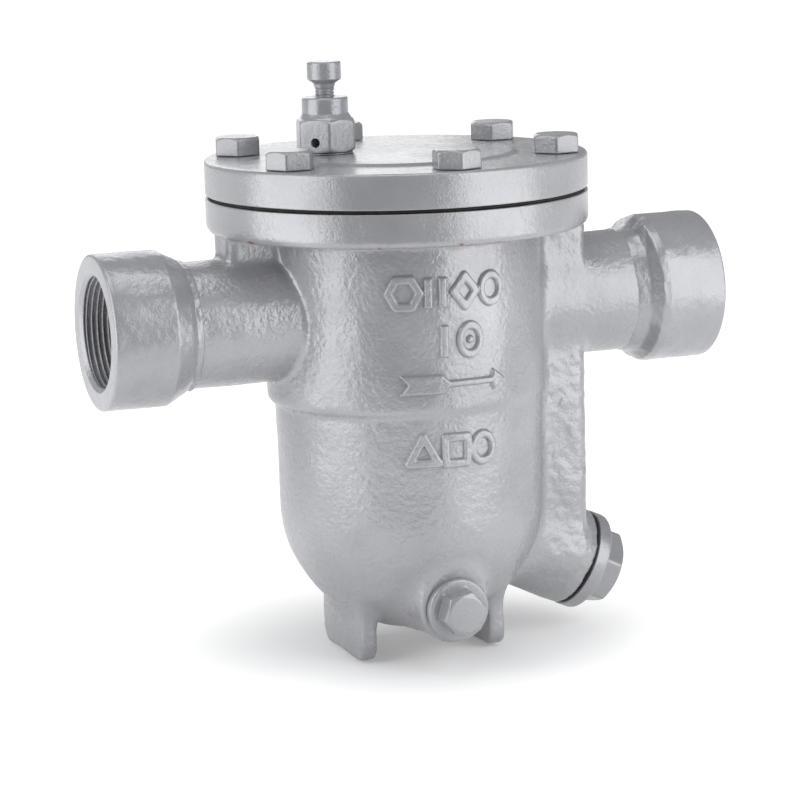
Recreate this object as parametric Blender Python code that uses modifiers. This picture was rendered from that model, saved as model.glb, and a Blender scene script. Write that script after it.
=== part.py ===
"""Free-float steam trap with screwed DN40 ends, built as an assembly.

Metres, +Z up. X runs along the pipe from the inlet to the outlet, the origin is midway
between the two socket faces, and Z is 0 where the feet rest. Condensate enters the
chamber through the screen, the float rises off the orifice, and the water leaves
through the riser behind the orifice to the outlet socket.
"""

import math

import bmesh
import bpy
from mathutils import Matrix, Vector

# Clearance between pieces that touch on the real trap.
GAP = 0.0003
# How far a cutting tool runs past the face that it cuts, and the small chamfer
# that turned edges have.
OVERCUT = 0.002
EDGE = 0.001
PIPE_AXIS = Vector((1.0, 0.0, 0.0))
UP = Vector((0.0, 0.0, 1.0))

# Sockets, necks and the pipe line.
FACE_TO_FACE = 0.270
PIPE_Z = 0.146
COLLAR_R = 0.032
COLLAR_LENGTH = 0.026
SHOULDER_LENGTH = 0.009
SOCKET_END = FACE_TO_FACE / 2 - COLLAR_LENGTH - SHOULDER_LENGTH
SOCKET_CHAMFER = 0.0020
NECK_R = 0.0261
SOCKET_R = 0.02242
SOCKET_DEPTH = 0.026
PASSAGE_R = 0.0190

# Barrel and its round bottom. The upper barrel and the flange sit a little
# towards the inlet, as the casting does.
BARREL_R = 0.05615
BOWL_R = 0.0555
BOWL_Z = 0.0647
SEAM_Z = 0.1087
UPPER_R = 0.0585
UPPER_X = -0.0011
CHAMBER_R = 0.0485
UPPER_CHAMBER_R = 0.0510
LEDGE_Z = 0.1120

# Flanged joint between the body and the cover.
FLANGE_X = -0.0028
FLANGE_R = 0.0798
FLANGE_BOTTOM_Z = 0.1810
FLANGE_TOP_Z = 0.1950
FLANGE_EDGE = 0.0025
RECESS_R = 0.0520
RECESS_Z = 0.1915
COVER_R = 0.07965
COVER_BOTTOM_Z = 0.1965
COVER_TOP_Z = 0.2108
COVER_DISC_R = 0.0500
COVER_DISC_RISE = 0.0010
COVER_EDGE = 0.0015
SPIGOT_R = 0.0515
SPIGOT_Z = 0.1920
GASKET_R = 0.0784
GASKET_BORE_R = 0.0530

# Cover bolts, M12.
BOLT_CIRCLE_R = 0.0670
BOLT_ANGLES = (-30, -90, -150, 150, 90, 30)
BOLT_HEAD_TURNS = (8, 20, 2, 14, 26, 5)
BOLT_HOLE_R = 0.00675
BOLT_R = 0.0060
BOLT_FLATS = 0.0180
BOLT_HEAD_H = 0.0075
BOLT_END_Z = 0.1830
TAPPED_HOLE_R = 0.0063
TAPPED_HOLE_Z = 0.1822

# Webs between the necks and the flange, as wide as the riser.
WEB_INNER_X = 0.0500
WEB_OUTER_X = {-1: 0.0805, 1: 0.0741}
WEB_HALF_WIDTH = {-1: 0.0100, 1: 0.0212}
WEB_Z = (0.1500, 0.1822)
WEB_EDGE = 0.0040

# Outlet riser, a flat-sided duct behind the barrel.
RISER_INNER_X = 0.040
RISER_OUTER_X = 0.0745
RISER_HALF_WIDTH = 0.0212
RISER_BOTTOM_Z = 0.033
RISER_HOLE_X = (0.0565, 0.0675)
RISER_HOLE_HALF_WIDTH = 0.0132
RISER_HOLE_BOTTOM_Z = 0.036
RISER_EDGE = 0.006

# Orifice, on an axis through the middle of the bowl. Distances along it are
# measured from that middle.
SEAT_TILT = math.radians(25)
SEAT_AXIS = Vector((math.cos(SEAT_TILT), 0.0, -math.sin(SEAT_TILT)))
BOWL_CENTRE = Vector((0.0, 0.0, BOWL_Z))
SEAT_BOSS_R = 0.0216
SEAT_BOSS_END = 0.0822
SEAT_BORE_R = 0.0153
SEAT_BORE_FLOOR = 0.0560
SEAT_BORE_TIP = 0.0400
PLUG_GASKET_T = 0.0012
ORIFICE_TIP = 0.0460
ORIFICE_THREAD_R = 0.0070
ORIFICE_HOLE_R = 0.0025
ORIFICE_TIP_R = 0.0050
ORIFICE_FLATS = 0.0170
ORIFICE_HEAD_T = 0.0050
ORIFICE_WASHER_R = 0.0105
SEAT_PLUG_FLANGE_R = 0.0215
SEAT_PLUG_FLANGE_T = 0.0062
SEAT_PLUG_FLATS = 0.0300
SEAT_PLUG_END = 0.1005
SEAT_PLUG_THREAD = 0.0105
SEAT_PLUG_RECESS_R = 0.0100

# Drain plug, on the front of the bowl.
DRAIN_X = -0.0005
DRAIN_Z = 0.0270
DRAIN_AXIS = Vector((0.0, -1.0, 0.0))
DRAIN_BOSS_R = 0.0150
DRAIN_BOSS_END = 0.0492
DRAIN_BORE_R = 0.0083
DRAIN_ROOT = (0.020, 0.030)
DRAIN_THREAD = 0.0090
DRAIN_RECESS_R = 0.0045
DRAIN_FLANGE_R = 0.0132
DRAIN_FLANGE_T = 0.0035
DRAIN_FLATS = 0.0170
DRAIN_HEAD_END = 0.0622

# Feet, two plates under the bowl.
FOOT_X = 0.0290
FOOT_T = 0.0070
FOOT_HALF_WIDTH = 0.0240
FOOT_TOP_Z = 0.0300
FOOT_CORNER_R = 0.0080

# Float, a hollow ball that rests on the orifice.
FLOAT_R = 0.0380
FLOAT_WALL = 0.0012
FLOAT_CENTRE = BOWL_CENTRE + SEAT_AXIS * (ORIFICE_TIP - FLOAT_R - GAP)
REST_RIB_R = 0.0035
REST_RIB_Y = 0.0140
REST_RIB_TOP_Z = 0.0248
REST_RIB_BOTTOM_Z = 0.0130
REST_RIB_X = FLOAT_CENTRE.x - 0.009

# Guard, screen and the ring that holds them down.
GUARD_R = 0.0505
GUARD_T = 0.0020
GUARD_HOLE_CIRCLE_R = 0.0300
GUARD_HOLE_R = 0.0070
GUARD_HOLES = 8
SCREEN_R = 0.0460
SCREEN_WALL = 0.0010
SCREEN_TOP_Z = 0.1886
SCREEN_ROWS = 4
SCREEN_COLUMNS = 7
SCREEN_HOLE_R = 0.0038
RING_LIPS = (0.0025, 0.0015)

# Hand-operated vent valve on the cover.
VENT_X = -0.0298
VENT_Y = 0.0100
VENT_FLATS = 0.0230
VENT_HEX_TURN = math.radians(-102)
VENT_HEX_BOTTOM_Z = 0.2127
VENT_HEX_TOP_Z = 0.2263
VENT_TOP_Z = 0.2352
VENT_COLLAR_R = 0.0096
VENT_SHANK_R = 0.0077
VENT_SHANK_Z = 0.1990
VENT_SHOULDER = 0.0022
VENT_WAY_R = 0.0018
VENT_SEAT_CONE = 0.0026
VENT_TAP_R = 0.0030
VENT_SCREW_R = 0.0041
VENT_CAVITY_R = 0.0044
VENT_CAP_R = 0.00705
VENT_CAP_BOTTOM_Z = 0.2408
VENT_CAP_TOP_Z = 0.2498
VENT_CAP_CONE = (0.0014, 0.0018)
VENT_OUTLET_ANGLE = math.radians(-132)
VENT_OUTLET_R = 0.0020
VENT_OUTLET_Z = 0.2170
VENT_BALL_R = 0.0030
VENT_SEAT_Z = 0.2140
VENT_BALL_Z = 0.21687

# Self-acting air vent under the cover.
AIR_X = 0.0120
AIR_SEAT_R = 0.0047
AIR_SEAT_HEAD_R = 0.0068
AIR_SEAT_FACE_Z = 0.1897
AIR_SEAT_TOP_Z = 0.1982
AIR_SEAT_HOLE_Z = 0.1990
AIR_WAY_R = 0.0015
AIR_CAGE_R = 0.0135
AIR_CAGE_WALL = 0.0012
AIR_CAGE_BOTTOM_Z = 0.1745
AIR_CAPSULE_R = 0.0110
AIR_CAPSULE_TOP_Z = 0.1836
AIR_CAGE_HOLE_R = 0.0050
AIR_WINDOW = 0.0040
AIR_WINDOW_TOP_Z = 0.1870
AIR_CONE_R = (0.0008, 0.0030)
AIR_CONE_BASE_Z = 0.1852
AIR_CONE_TOP_Z = 0.1879
AIR_CHANNEL_R = 0.0025
AIR_CHANNEL_Z = 0.2040
AIR_DROP_X = 0.0620

ROUND = 40
SMALL_ROUND = 24
ARC_STEPS = 6

PAINT = ("silver_paint", (0.50, 0.51, 0.52), 0.42, 0.35)
GASKET = ("graphite_gasket", (0.03, 0.03, 0.035), 0.80, 0.0)
STEEL = ("bright_steel", (0.58, 0.58, 0.57), 0.28, 1.0)
COPPER = ("copper_washer", (0.55, 0.30, 0.20), 0.40, 1.0)


def clear_scene():
    """Remove every object, so that the script can run again in the same file."""
    for item in list(bpy.data.objects):
        bpy.data.objects.remove(item, do_unlink=True)


def make_collection(name):
    group = bpy.data.collections.new(name)
    bpy.context.scene.collection.children.link(group)
    return group


def make_material(name, finish):
    """Principled material for one piece from a (name, colour, roughness, metallic) finish."""
    label, colour, roughness, metallic = finish
    material = bpy.data.materials.new(f"{name}_{label}")
    material.use_nodes = True
    shader = material.node_tree.nodes["Principled BSDF"]
    shader.inputs["Base Color"].default_value = (*colour, 1.0)
    shader.inputs["Roughness"].default_value = roughness
    shader.inputs["Metallic"].default_value = metallic
    return material


def add_object(name, mesh, finish=None):
    """Put a mesh in the scene: a part when it has a finish, otherwise a cutting or joining tool."""
    item = bpy.data.objects.new(name, mesh)
    if finish is None:
        TOOLS.objects.link(item)
        item.hide_render = True
        item.display_type = "WIRE"
    else:
        PARTS.objects.link(item)
        mesh.materials.append(make_material(name, finish))
    return item


def aim(item, origin, direction):
    """Place an object at origin with its own +Z along direction."""
    item.location = origin
    item.rotation_mode = "QUATERNION"
    item.rotation_quaternion = UP.rotation_difference(direction)
    return item


def turned(name, profile, finish=None, closed=False, steps=ROUND):
    """Turn a profile of (radius, height) points about Z. It runs down its outer side."""
    mesh = bpy.data.meshes.new(name)
    points = [(radius, 0.0, height) for radius, height in profile]
    edges = [(index, index + 1) for index in range(len(points) - 1)]
    if closed:
        edges.append((len(points) - 1, 0))
    mesh.from_pydata(points, edges, [])
    item = add_object(name, mesh, finish)
    screw = item.modifiers.new("Turn", "SCREW")
    screw.axis = "Z"
    screw.steps = steps
    screw.render_steps = steps
    screw.use_merge_vertices = True
    screw.merge_threshold = 0.00001
    screw.use_smooth_shade = True
    return item


def rod(name, radius, low, high, finish=None, steps=ROUND):
    """Plain cylinder from height low to height high."""
    profile = [(0.0, high), (radius, high), (radius, low), (0.0, low)]
    return turned(name, profile, finish, steps=steps)


def ring(name, inner, outer, low, high, finish=None, steps=ROUND):
    """Flat ring, such as a gasket."""
    profile = [(outer, high), (outer, low), (inner, low), (inner, high)]
    return turned(name, profile, finish, closed=True, steps=steps)


def arc(centre_height, radius, start, end, steps=ARC_STEPS):
    """Points of a round stretch of a profile; angles in degrees, 90 is straight up."""
    angles = [math.radians(start + (end - start) * step / steps) for step in range(steps + 1)]
    return [(max(0.0, radius * math.cos(a)), centre_height + radius * math.sin(a)) for a in angles]


def block(name, low, high, finish=None, rounding=0.0):
    """Box between two corners, with its edges rounded when asked."""
    mesh = bpy.data.meshes.new(name)
    shape = bmesh.new()
    bmesh.ops.create_cube(shape, size=1.0)
    size = [high[axis] - low[axis] for axis in range(3)]
    middle = [(high[axis] + low[axis]) / 2 for axis in range(3)]
    bmesh.ops.scale(shape, vec=size, verts=shape.verts)
    bmesh.ops.translate(shape, vec=middle, verts=shape.verts)
    shape.to_mesh(mesh)
    shape.free()
    item = add_object(name, mesh, finish)
    if rounding:
        bevel = item.modifiers.new("Rounding", "BEVEL")
        bevel.width = rounding
        bevel.segments = 3
    return item


def hexagon(name, across_flats, low, high, finish=None):
    """Hexagonal prism with a corner on its own +X."""
    mesh = bpy.data.meshes.new(name)
    shape = bmesh.new()
    corner_r = across_flats / math.sqrt(3)
    bmesh.ops.create_cone(shape, cap_ends=True, segments=6, radius1=corner_r, radius2=corner_r,
                          depth=high - low)
    bmesh.ops.rotate(shape, cent=(0, 0, 0), matrix=Matrix.Rotation(math.radians(30), 3, "Z"),
                     verts=shape.verts)
    bmesh.ops.translate(shape, vec=(0, 0, (high + low) / 2), verts=shape.verts)
    shape.to_mesh(mesh)
    shape.free()
    return add_object(name, mesh, finish)


def combine(target, tool, operation):
    """Boolean a tool into a target. The tool follows the target when both share a place."""
    cut = target.modifiers.new(tool.name, "BOOLEAN")
    cut.operation = operation
    cut.solver = "EXACT"
    cut.object = tool
    return target


def hex_headed(name, flats, low, high, round_profile, finish):
    """Hexagon head with a chamfered crown, joined to a turned shank that enters the head."""
    head = hexagon(name, flats, low, high, finish)
    corner_r = flats / math.sqrt(3)
    chamfer = corner_r - flats / 2
    crown_profile = [(0.0, high), (flats / 2 - chamfer, high), (corner_r + chamfer, high - 1.2 * chamfer),
                     (corner_r + chamfer, low - chamfer), (0.0, low - chamfer)]
    crown = turned(name + "_crown", crown_profile, steps=SMALL_ROUND)
    combine(head, crown, "INTERSECT")
    shank = turned(name + "_shank", round_profile, steps=SMALL_ROUND)
    combine(head, shank, "UNION")
    return head, [crown, shank]


def place_group(items, origin, direction, turn=0.0):
    """Give a piece and its tools one place, turned about the piece's own axis."""
    spin = Matrix.Rotation(turn, 4, "Z").to_quaternion()
    for item in items:
        aim(item, origin, direction)
        item.rotation_quaternion = item.rotation_quaternion @ spin


def bolt_places():
    for degrees in BOLT_ANGLES:
        angle = math.radians(degrees)
        yield (FLANGE_X + BOLT_CIRCLE_R * math.cos(angle), BOLT_CIRCLE_R * math.sin(angle))


def body_outside(body):
    """Join the flange, necks, riser, bosses, webs and feet to the barrel."""
    upper = rod("upper_barrel", UPPER_R, SEAM_Z, FLANGE_BOTTOM_Z + OVERCUT)
    upper.location.x = UPPER_X
    edge_z = FLANGE_BOTTOM_Z + FLANGE_EDGE
    flange_profile = [(0.0, FLANGE_TOP_Z), (FLANGE_R, FLANGE_TOP_Z), (FLANGE_R, edge_z),
                      (FLANGE_R - FLANGE_EDGE, FLANGE_BOTTOM_Z), (0.0, FLANGE_BOTTOM_Z)]
    flange = turned("body_flange", flange_profile)
    flange.location.x = FLANGE_X
    combine(body, upper, "UNION")
    combine(body, flange, "UNION")
    for side, name in ((-1, "inlet_neck"), (1, "outlet_neck")):
        neck = rod(name, NECK_R, CHAMBER_R, SOCKET_END - GAP)
        aim(neck, (0.0, 0.0, PIPE_Z), PIPE_AXIS * side)
        combine(body, neck, "UNION")
    riser = block("riser", (RISER_INNER_X, -RISER_HALF_WIDTH, RISER_BOTTOM_Z),
                  (RISER_OUTER_X, RISER_HALF_WIDTH, PIPE_Z), rounding=RISER_EDGE)
    combine(body, riser, "UNION")
    boss = rod("seat_boss", SEAT_BOSS_R, RISER_INNER_X, SEAT_BOSS_END, steps=36)
    combine(body, aim(boss, BOWL_CENTRE, SEAT_AXIS), "UNION")
    drain_boss = rod("drain_boss", DRAIN_BOSS_R, DRAIN_ROOT[1], DRAIN_BOSS_END, steps=32)
    combine(body, aim(drain_boss, (DRAIN_X, 0.0, DRAIN_Z), DRAIN_AXIS), "UNION")
    body_webs_and_feet(body)


def body_webs_and_feet(body):
    """A web that carries the flange over each neck, wide on the riser's side, and the two feet."""
    for side in (-1, 1):
        near, far = sorted((side * WEB_INNER_X, side * WEB_OUTER_X[side]))
        half_width = WEB_HALF_WIDTH[side]
        web = block(f"web_{side}", (near, -half_width, WEB_Z[0]), (far, half_width, WEB_Z[1]),
                    rounding=WEB_EDGE)
        combine(body, web, "UNION")
        foot_low = (side * FOOT_X - FOOT_T / 2, -FOOT_HALF_WIDTH, 0.0)
        foot_high = (side * FOOT_X + FOOT_T / 2, FOOT_HALF_WIDTH, FOOT_TOP_Z)
        foot = foot_plate(f"foot_{side}", foot_low, foot_high)
        combine(body, foot, "UNION")


def foot_plate(name, low, high):
    """Upright plate whose two lower corners are round."""
    outline = bpy.data.curves.new(name, "CURVE")
    outline.dimensions = "2D"
    outline.fill_mode = "BOTH"
    outline.extrude = (high[0] - low[0]) / 2
    spline = outline.splines.new("POLY")
    points = [(high[1], high[2]), (low[1], high[2])]
    for side, start in ((-1, 180), (1, 270)):
        centre_y = side * (FOOT_HALF_WIDTH - FOOT_CORNER_R)
        for step in range(ARC_STEPS + 1):
            angle = math.radians(start + 90 * step / ARC_STEPS)
            points.append((centre_y + FOOT_CORNER_R * math.cos(angle),
                           FOOT_CORNER_R + FOOT_CORNER_R * math.sin(angle)))
    spline.points.add(len(points) - 1)
    for point, (y, z) in zip(spline.points, points):
        point.co = (y, z, 0.0, 1.0)
    spline.use_cyclic_u = True
    flat = bpy.data.objects.new(name + "_outline", outline)
    bpy.context.scene.collection.objects.link(flat)
    flat.matrix_world = Matrix(((0, 0, 1, (low[0] + high[0]) / 2), (1, 0, 0, 0), (0, 1, 0, 0), (0, 0, 0, 1)))
    graph = bpy.context.evaluated_depsgraph_get()
    mesh = bpy.data.meshes.new_from_object(flat.evaluated_get(graph))
    shape = bmesh.new()
    shape.from_mesh(mesh)
    bmesh.ops.remove_doubles(shape, verts=shape.verts, dist=0.000001)
    bmesh.ops.recalc_face_normals(shape, faces=shape.faces)
    shape.to_mesh(mesh)
    shape.free()
    plate = add_object(name, mesh)
    plate.matrix_world = flat.matrix_world
    bpy.data.objects.remove(flat)
    return plate


def body_cavities(body):
    """Cut the float chamber, the bores, the riser passage and the tapped holes."""
    chamber_profile = [(0.0, COVER_BOTTOM_Z), (UPPER_CHAMBER_R, COVER_BOTTOM_Z), (UPPER_CHAMBER_R, LEDGE_Z),
                       (CHAMBER_R, LEDGE_Z)] + arc(BOWL_Z, CHAMBER_R, 0, -90, 10)
    combine(body, turned("float_chamber", chamber_profile), "DIFFERENCE")
    recess = rod("cover_recess", RECESS_R, RECESS_Z, COVER_BOTTOM_Z)
    recess.location.x = FLANGE_X
    combine(body, recess, "DIFFERENCE")
    for side, name, depth in ((-1, "inlet_passage", RISER_INNER_X), (1, "outlet_passage", RISER_HOLE_X[0])):
        passage = rod(name, PASSAGE_R, depth, SOCKET_END + OVERCUT, steps=36)
        combine(body, aim(passage, (0.0, 0.0, PIPE_Z), PIPE_AXIS * side), "DIFFERENCE")
    riser_hole = block("riser_hole", (RISER_HOLE_X[0], -RISER_HOLE_HALF_WIDTH, RISER_HOLE_BOTTOM_Z),
                       (RISER_HOLE_X[1], RISER_HOLE_HALF_WIDTH, PIPE_Z - 2 * OVERCUT))
    combine(body, riser_hole, "DIFFERENCE")
    mouth = SEAT_BOSS_END + OVERCUT
    seat_bore_profile = [(0.0, mouth), (SEAT_BORE_R, mouth), (SEAT_BORE_R, SEAT_BORE_FLOOR),
                         (ORIFICE_THREAD_R + GAP, SEAT_BORE_FLOOR), (ORIFICE_THREAD_R + GAP, SEAT_BORE_TIP),
                         (0.0, SEAT_BORE_TIP)]
    seat_bore = turned("seat_bore", seat_bore_profile, steps=36)
    combine(body, aim(seat_bore, BOWL_CENTRE, SEAT_AXIS), "DIFFERENCE")
    drain_bore = rod("drain_bore", DRAIN_BORE_R, DRAIN_ROOT[0], DRAIN_BOSS_END + OVERCUT, steps=SMALL_ROUND)
    combine(body, aim(drain_bore, (DRAIN_X, 0.0, DRAIN_Z), DRAIN_AXIS), "DIFFERENCE")
    for index, (x, y) in enumerate(bolt_places(), start=1):
        hole = rod(f"tapped_hole_{index}", TAPPED_HOLE_R, TAPPED_HOLE_Z, COVER_BOTTOM_Z, steps=16)
        hole.location = (x, y, 0.0)
        combine(body, hole, "DIFFERENCE")
    air_hole = rod("air_hole", AIR_CHANNEL_R, PIPE_Z + PASSAGE_R - OVERCUT, COVER_BOTTOM_Z, steps=12)
    air_hole.location.x = AIR_DROP_X
    combine(body, air_hole, "DIFFERENCE")
    for side in (-1, 1):
        rib = rod(f"rest_rib_{side}", REST_RIB_R, REST_RIB_BOTTOM_Z, REST_RIB_TOP_Z, steps=12)
        rib.location = (REST_RIB_X, side * REST_RIB_Y, 0.0)
        combine(body, rib, "UNION")


def sockets():
    """Threaded collars with a coned shoulder, each welded to the end of its neck."""
    half = FACE_TO_FACE / 2
    profile = [(0.0, half), (COLLAR_R - EDGE, half), (COLLAR_R, half - EDGE),
               (COLLAR_R, half - COLLAR_LENGTH), (NECK_R, SOCKET_END), (0.0, SOCKET_END)]
    mouth_r = SOCKET_R + SOCKET_CHAMFER
    bore_profile = [(0.0, half + OVERCUT), (mouth_r, half + OVERCUT), (mouth_r, half),
                    (SOCKET_R, half - SOCKET_CHAMFER), (SOCKET_R, half - SOCKET_DEPTH),
                    (PASSAGE_R, half - SOCKET_DEPTH), (PASSAGE_R, SOCKET_END - OVERCUT),
                    (0.0, SOCKET_END - OVERCUT)]
    for side, name in ((-1, "inlet_socket"), (1, "outlet_socket")):
        collar = aim(turned(name, profile, PAINT), (0.0, 0.0, PIPE_Z), PIPE_AXIS * side)
        bore = aim(turned(name + "_bore", bore_profile), (0.0, 0.0, PIPE_Z), PIPE_AXIS * side)
        combine(collar, bore, "DIFFERENCE")


def trap_body():
    """One hollow casting: barrel with a round bottom, two necks, riser, flange and feet."""
    profile = [(0.0, SEAM_Z + 2 * OVERCUT), (BARREL_R, SEAM_Z + 2 * OVERCUT), (BARREL_R, SEAM_Z)]
    profile += arc(BOWL_Z, BOWL_R, 0, -90, 10)
    body = turned("trap_body", profile, PAINT)
    body_outside(body)
    body_cavities(body)


def cover():
    """Blind flange with a low raised middle, a spigot below, and the vent channels inside."""
    disc_z = COVER_TOP_Z + COVER_DISC_RISE
    rounded = COVER_EDGE * (1 - math.sqrt(0.5))
    profile = [(0.0, disc_z), (COVER_DISC_R - COVER_EDGE, disc_z), (COVER_DISC_R, COVER_TOP_Z),
               (COVER_R - COVER_EDGE, COVER_TOP_Z), (COVER_R - rounded, COVER_TOP_Z - rounded),
               (COVER_R, COVER_TOP_Z - COVER_EDGE), (COVER_R, COVER_BOTTOM_Z), (SPIGOT_R, COVER_BOTTOM_Z),
               (SPIGOT_R, SPIGOT_Z), (0.0, SPIGOT_Z)]
    lid = turned("cover", profile, PAINT)
    lid.location.x = FLANGE_X
    for index, (x, y) in enumerate(bolt_places(), start=1):
        hole = rod(f"cover_hole_{index}", BOLT_HOLE_R, SPIGOT_Z, disc_z + OVERCUT, steps=SMALL_ROUND)
        hole.location = (x, y, 0.0)
        combine(lid, hole, "DIFFERENCE")
    top = disc_z + OVERCUT
    low = SPIGOT_Z - OVERCUT
    vent_profile = [(0.0, top), (VENT_SHANK_R + GAP, top), (VENT_SHANK_R + GAP, VENT_SHANK_Z - GAP),
                    (VENT_TAP_R, VENT_SHANK_Z - GAP), (VENT_TAP_R, low), (0.0, low)]
    vent_hole = turned("vent_hole", vent_profile, steps=SMALL_ROUND)
    vent_hole.location = (VENT_X, VENT_Y, 0.0)
    combine(lid, vent_hole, "DIFFERENCE")
    air_profile = [(0.0, AIR_CHANNEL_Z), (AIR_CHANNEL_R, AIR_CHANNEL_Z), (AIR_CHANNEL_R, AIR_SEAT_HOLE_Z),
                   (AIR_SEAT_R + GAP, AIR_SEAT_HOLE_Z), (AIR_SEAT_R + GAP, low), (0.0, low)]
    air_hole = turned("air_seat_hole", air_profile, steps=16)
    air_hole.location.x = AIR_X
    combine(lid, air_hole, "DIFFERENCE")
    length = AIR_DROP_X - AIR_X
    channel = rod("air_channel", AIR_CHANNEL_R, -EDGE, length + EDGE, steps=12)
    combine(lid, aim(channel, (AIR_X, 0.0, AIR_CHANNEL_Z), PIPE_AXIS), "DIFFERENCE")
    drop = rod("air_drop", AIR_CHANNEL_R * 0.9, low, AIR_CHANNEL_Z, steps=12)
    drop.location.x = AIR_DROP_X
    combine(lid, drop, "DIFFERENCE")


def cover_gasket():
    """Flat gasket between the flanges, with holes for the bolts and the air channel."""
    seal = ring("cover_gasket", GASKET_BORE_R, GASKET_R, FLANGE_TOP_Z + GAP, COVER_BOTTOM_Z - GAP, GASKET)
    seal.location.x = FLANGE_X
    holes = [(x, y, BOLT_HOLE_R) for x, y in bolt_places()] + [(AIR_DROP_X, 0.0, AIR_CHANNEL_R)]
    for index, (x, y, radius) in enumerate(holes, start=1):
        hole = rod(f"gasket_hole_{index}", radius, FLANGE_TOP_Z, COVER_BOTTOM_Z, steps=16)
        hole.location = (x, y, 0.0)
        combine(seal, hole, "DIFFERENCE")


def cover_bolts():
    """Six hexagon-head screws that share one mesh and are turned as they were tightened."""
    low = COVER_TOP_Z + GAP
    shank_length = low - BOLT_END_Z
    shank_profile = [(0.0, OVERCUT), (BOLT_R, OVERCUT), (BOLT_R, EDGE - shank_length),
                     (BOLT_R - EDGE, -shank_length), (0.0, -shank_length)]
    master, tools = hex_headed("bolt_pattern", BOLT_FLATS, 0.0, BOLT_HEAD_H, shank_profile, PAINT)
    graph = bpy.context.evaluated_depsgraph_get()
    mesh = bpy.data.meshes.new_from_object(master.evaluated_get(graph))
    mesh.name = "cover_bolt"
    for item in [master, *tools]:
        bpy.data.objects.remove(item)
    for index, ((x, y), turn) in enumerate(zip(bolt_places(), BOLT_HEAD_TURNS), start=1):
        bolt = bpy.data.objects.new(f"cover_bolt_{index}", mesh)
        PARTS.objects.link(bolt)
        bolt.location = (x, y, low)
        bolt.rotation_euler.z = math.radians(turn)


def vent_valve():
    """Hand vent on the cover: hexagon body with a side outlet, washer, ball and screw."""
    place = (VENT_X, VENT_Y, 0.0)
    shoulder_z = VENT_HEX_TOP_Z + VENT_SHOULDER
    shoulder_r = VENT_FLATS / 2 - GAP
    inside_z = VENT_HEX_TOP_Z - OVERCUT
    round_profile = [(0.0, VENT_TOP_Z), (VENT_COLLAR_R - EDGE, VENT_TOP_Z),
                     (VENT_COLLAR_R, VENT_TOP_Z - EDGE), (VENT_COLLAR_R, shoulder_z),
                     (shoulder_r, VENT_HEX_TOP_Z), (shoulder_r, inside_z),
                     (VENT_SHANK_R, inside_z), (VENT_SHANK_R, VENT_SHANK_Z), (0.0, VENT_SHANK_Z)]
    valve, tools = hex_headed("vent_valve_body", VENT_FLATS, VENT_HEX_BOTTOM_Z, VENT_HEX_TOP_Z,
                              round_profile, PAINT)
    place_group([valve, *tools], place, UP, VENT_HEX_TURN)
    bore_profile = [(0.0, VENT_TOP_Z + OVERCUT), (VENT_CAVITY_R, VENT_TOP_Z + OVERCUT),
                    (VENT_CAVITY_R, VENT_SEAT_Z + VENT_SEAT_CONE), (VENT_WAY_R, VENT_SEAT_Z),
                    (VENT_WAY_R, VENT_SHANK_Z - OVERCUT), (0.0, VENT_SHANK_Z - OVERCUT)]
    bore = turned("vent_bore", bore_profile, steps=SMALL_ROUND)
    bore.location = place
    combine(valve, bore, "DIFFERENCE")
    outlet_way = Vector((math.cos(VENT_OUTLET_ANGLE), math.sin(VENT_OUTLET_ANGLE), 0.0))
    outlet = rod("vent_outlet", VENT_OUTLET_R, 0.0, VENT_FLATS, steps=16)
    combine(valve, aim(outlet, (VENT_X, VENT_Y, VENT_OUTLET_Z), outlet_way), "DIFFERENCE")
    washer = ring("vent_washer", VENT_SHANK_R + GAP, VENT_FLATS / 2 - GAP,
                  COVER_TOP_Z + COVER_DISC_RISE + GAP, VENT_HEX_BOTTOM_Z - GAP, COPPER, steps=32)
    washer.location = place
    ball = turned("vent_ball", arc(VENT_BALL_Z, VENT_BALL_R, 90, -90, 10), STEEL, steps=20)
    ball.location = place
    tip_z = VENT_BALL_Z + VENT_BALL_R + GAP
    screw_profile = [(0.0, VENT_CAP_TOP_Z), (VENT_CAP_R - EDGE, VENT_CAP_TOP_Z),
                     (VENT_CAP_R, VENT_CAP_TOP_Z - EDGE), (VENT_CAP_R, VENT_CAP_BOTTOM_Z + VENT_CAP_CONE[1]),
                     (VENT_CAP_R - VENT_CAP_CONE[0], VENT_CAP_BOTTOM_Z), (VENT_SCREW_R, VENT_CAP_BOTTOM_Z),
                     (VENT_SCREW_R, tip_z + EDGE), (VENT_SCREW_R - EDGE, tip_z), (0.0, tip_z)]
    screw = turned("vent_screw", screw_profile, PAINT, steps=SMALL_ROUND)
    screw.location = place


def plug(name, flats, flange_r, flange_t, base, head_end, thread_r, thread_length, recess_r, finish):
    """Hollow-ended plug with a round flange and a hexagon. Its +Z points out of the trap."""
    flange_top = base + flange_t
    round_profile = [(0.0, flange_top + EDGE), (flange_r - EDGE, flange_top), (flange_r, flange_top - EDGE),
                     (flange_r, base), (thread_r, base), (thread_r, base - thread_length),
                     (recess_r, base - thread_length), (recess_r, base - EDGE), (0.0, base - EDGE)]
    return hex_headed(name, flats, flange_top - GAP, head_end, round_profile, finish)


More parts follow.
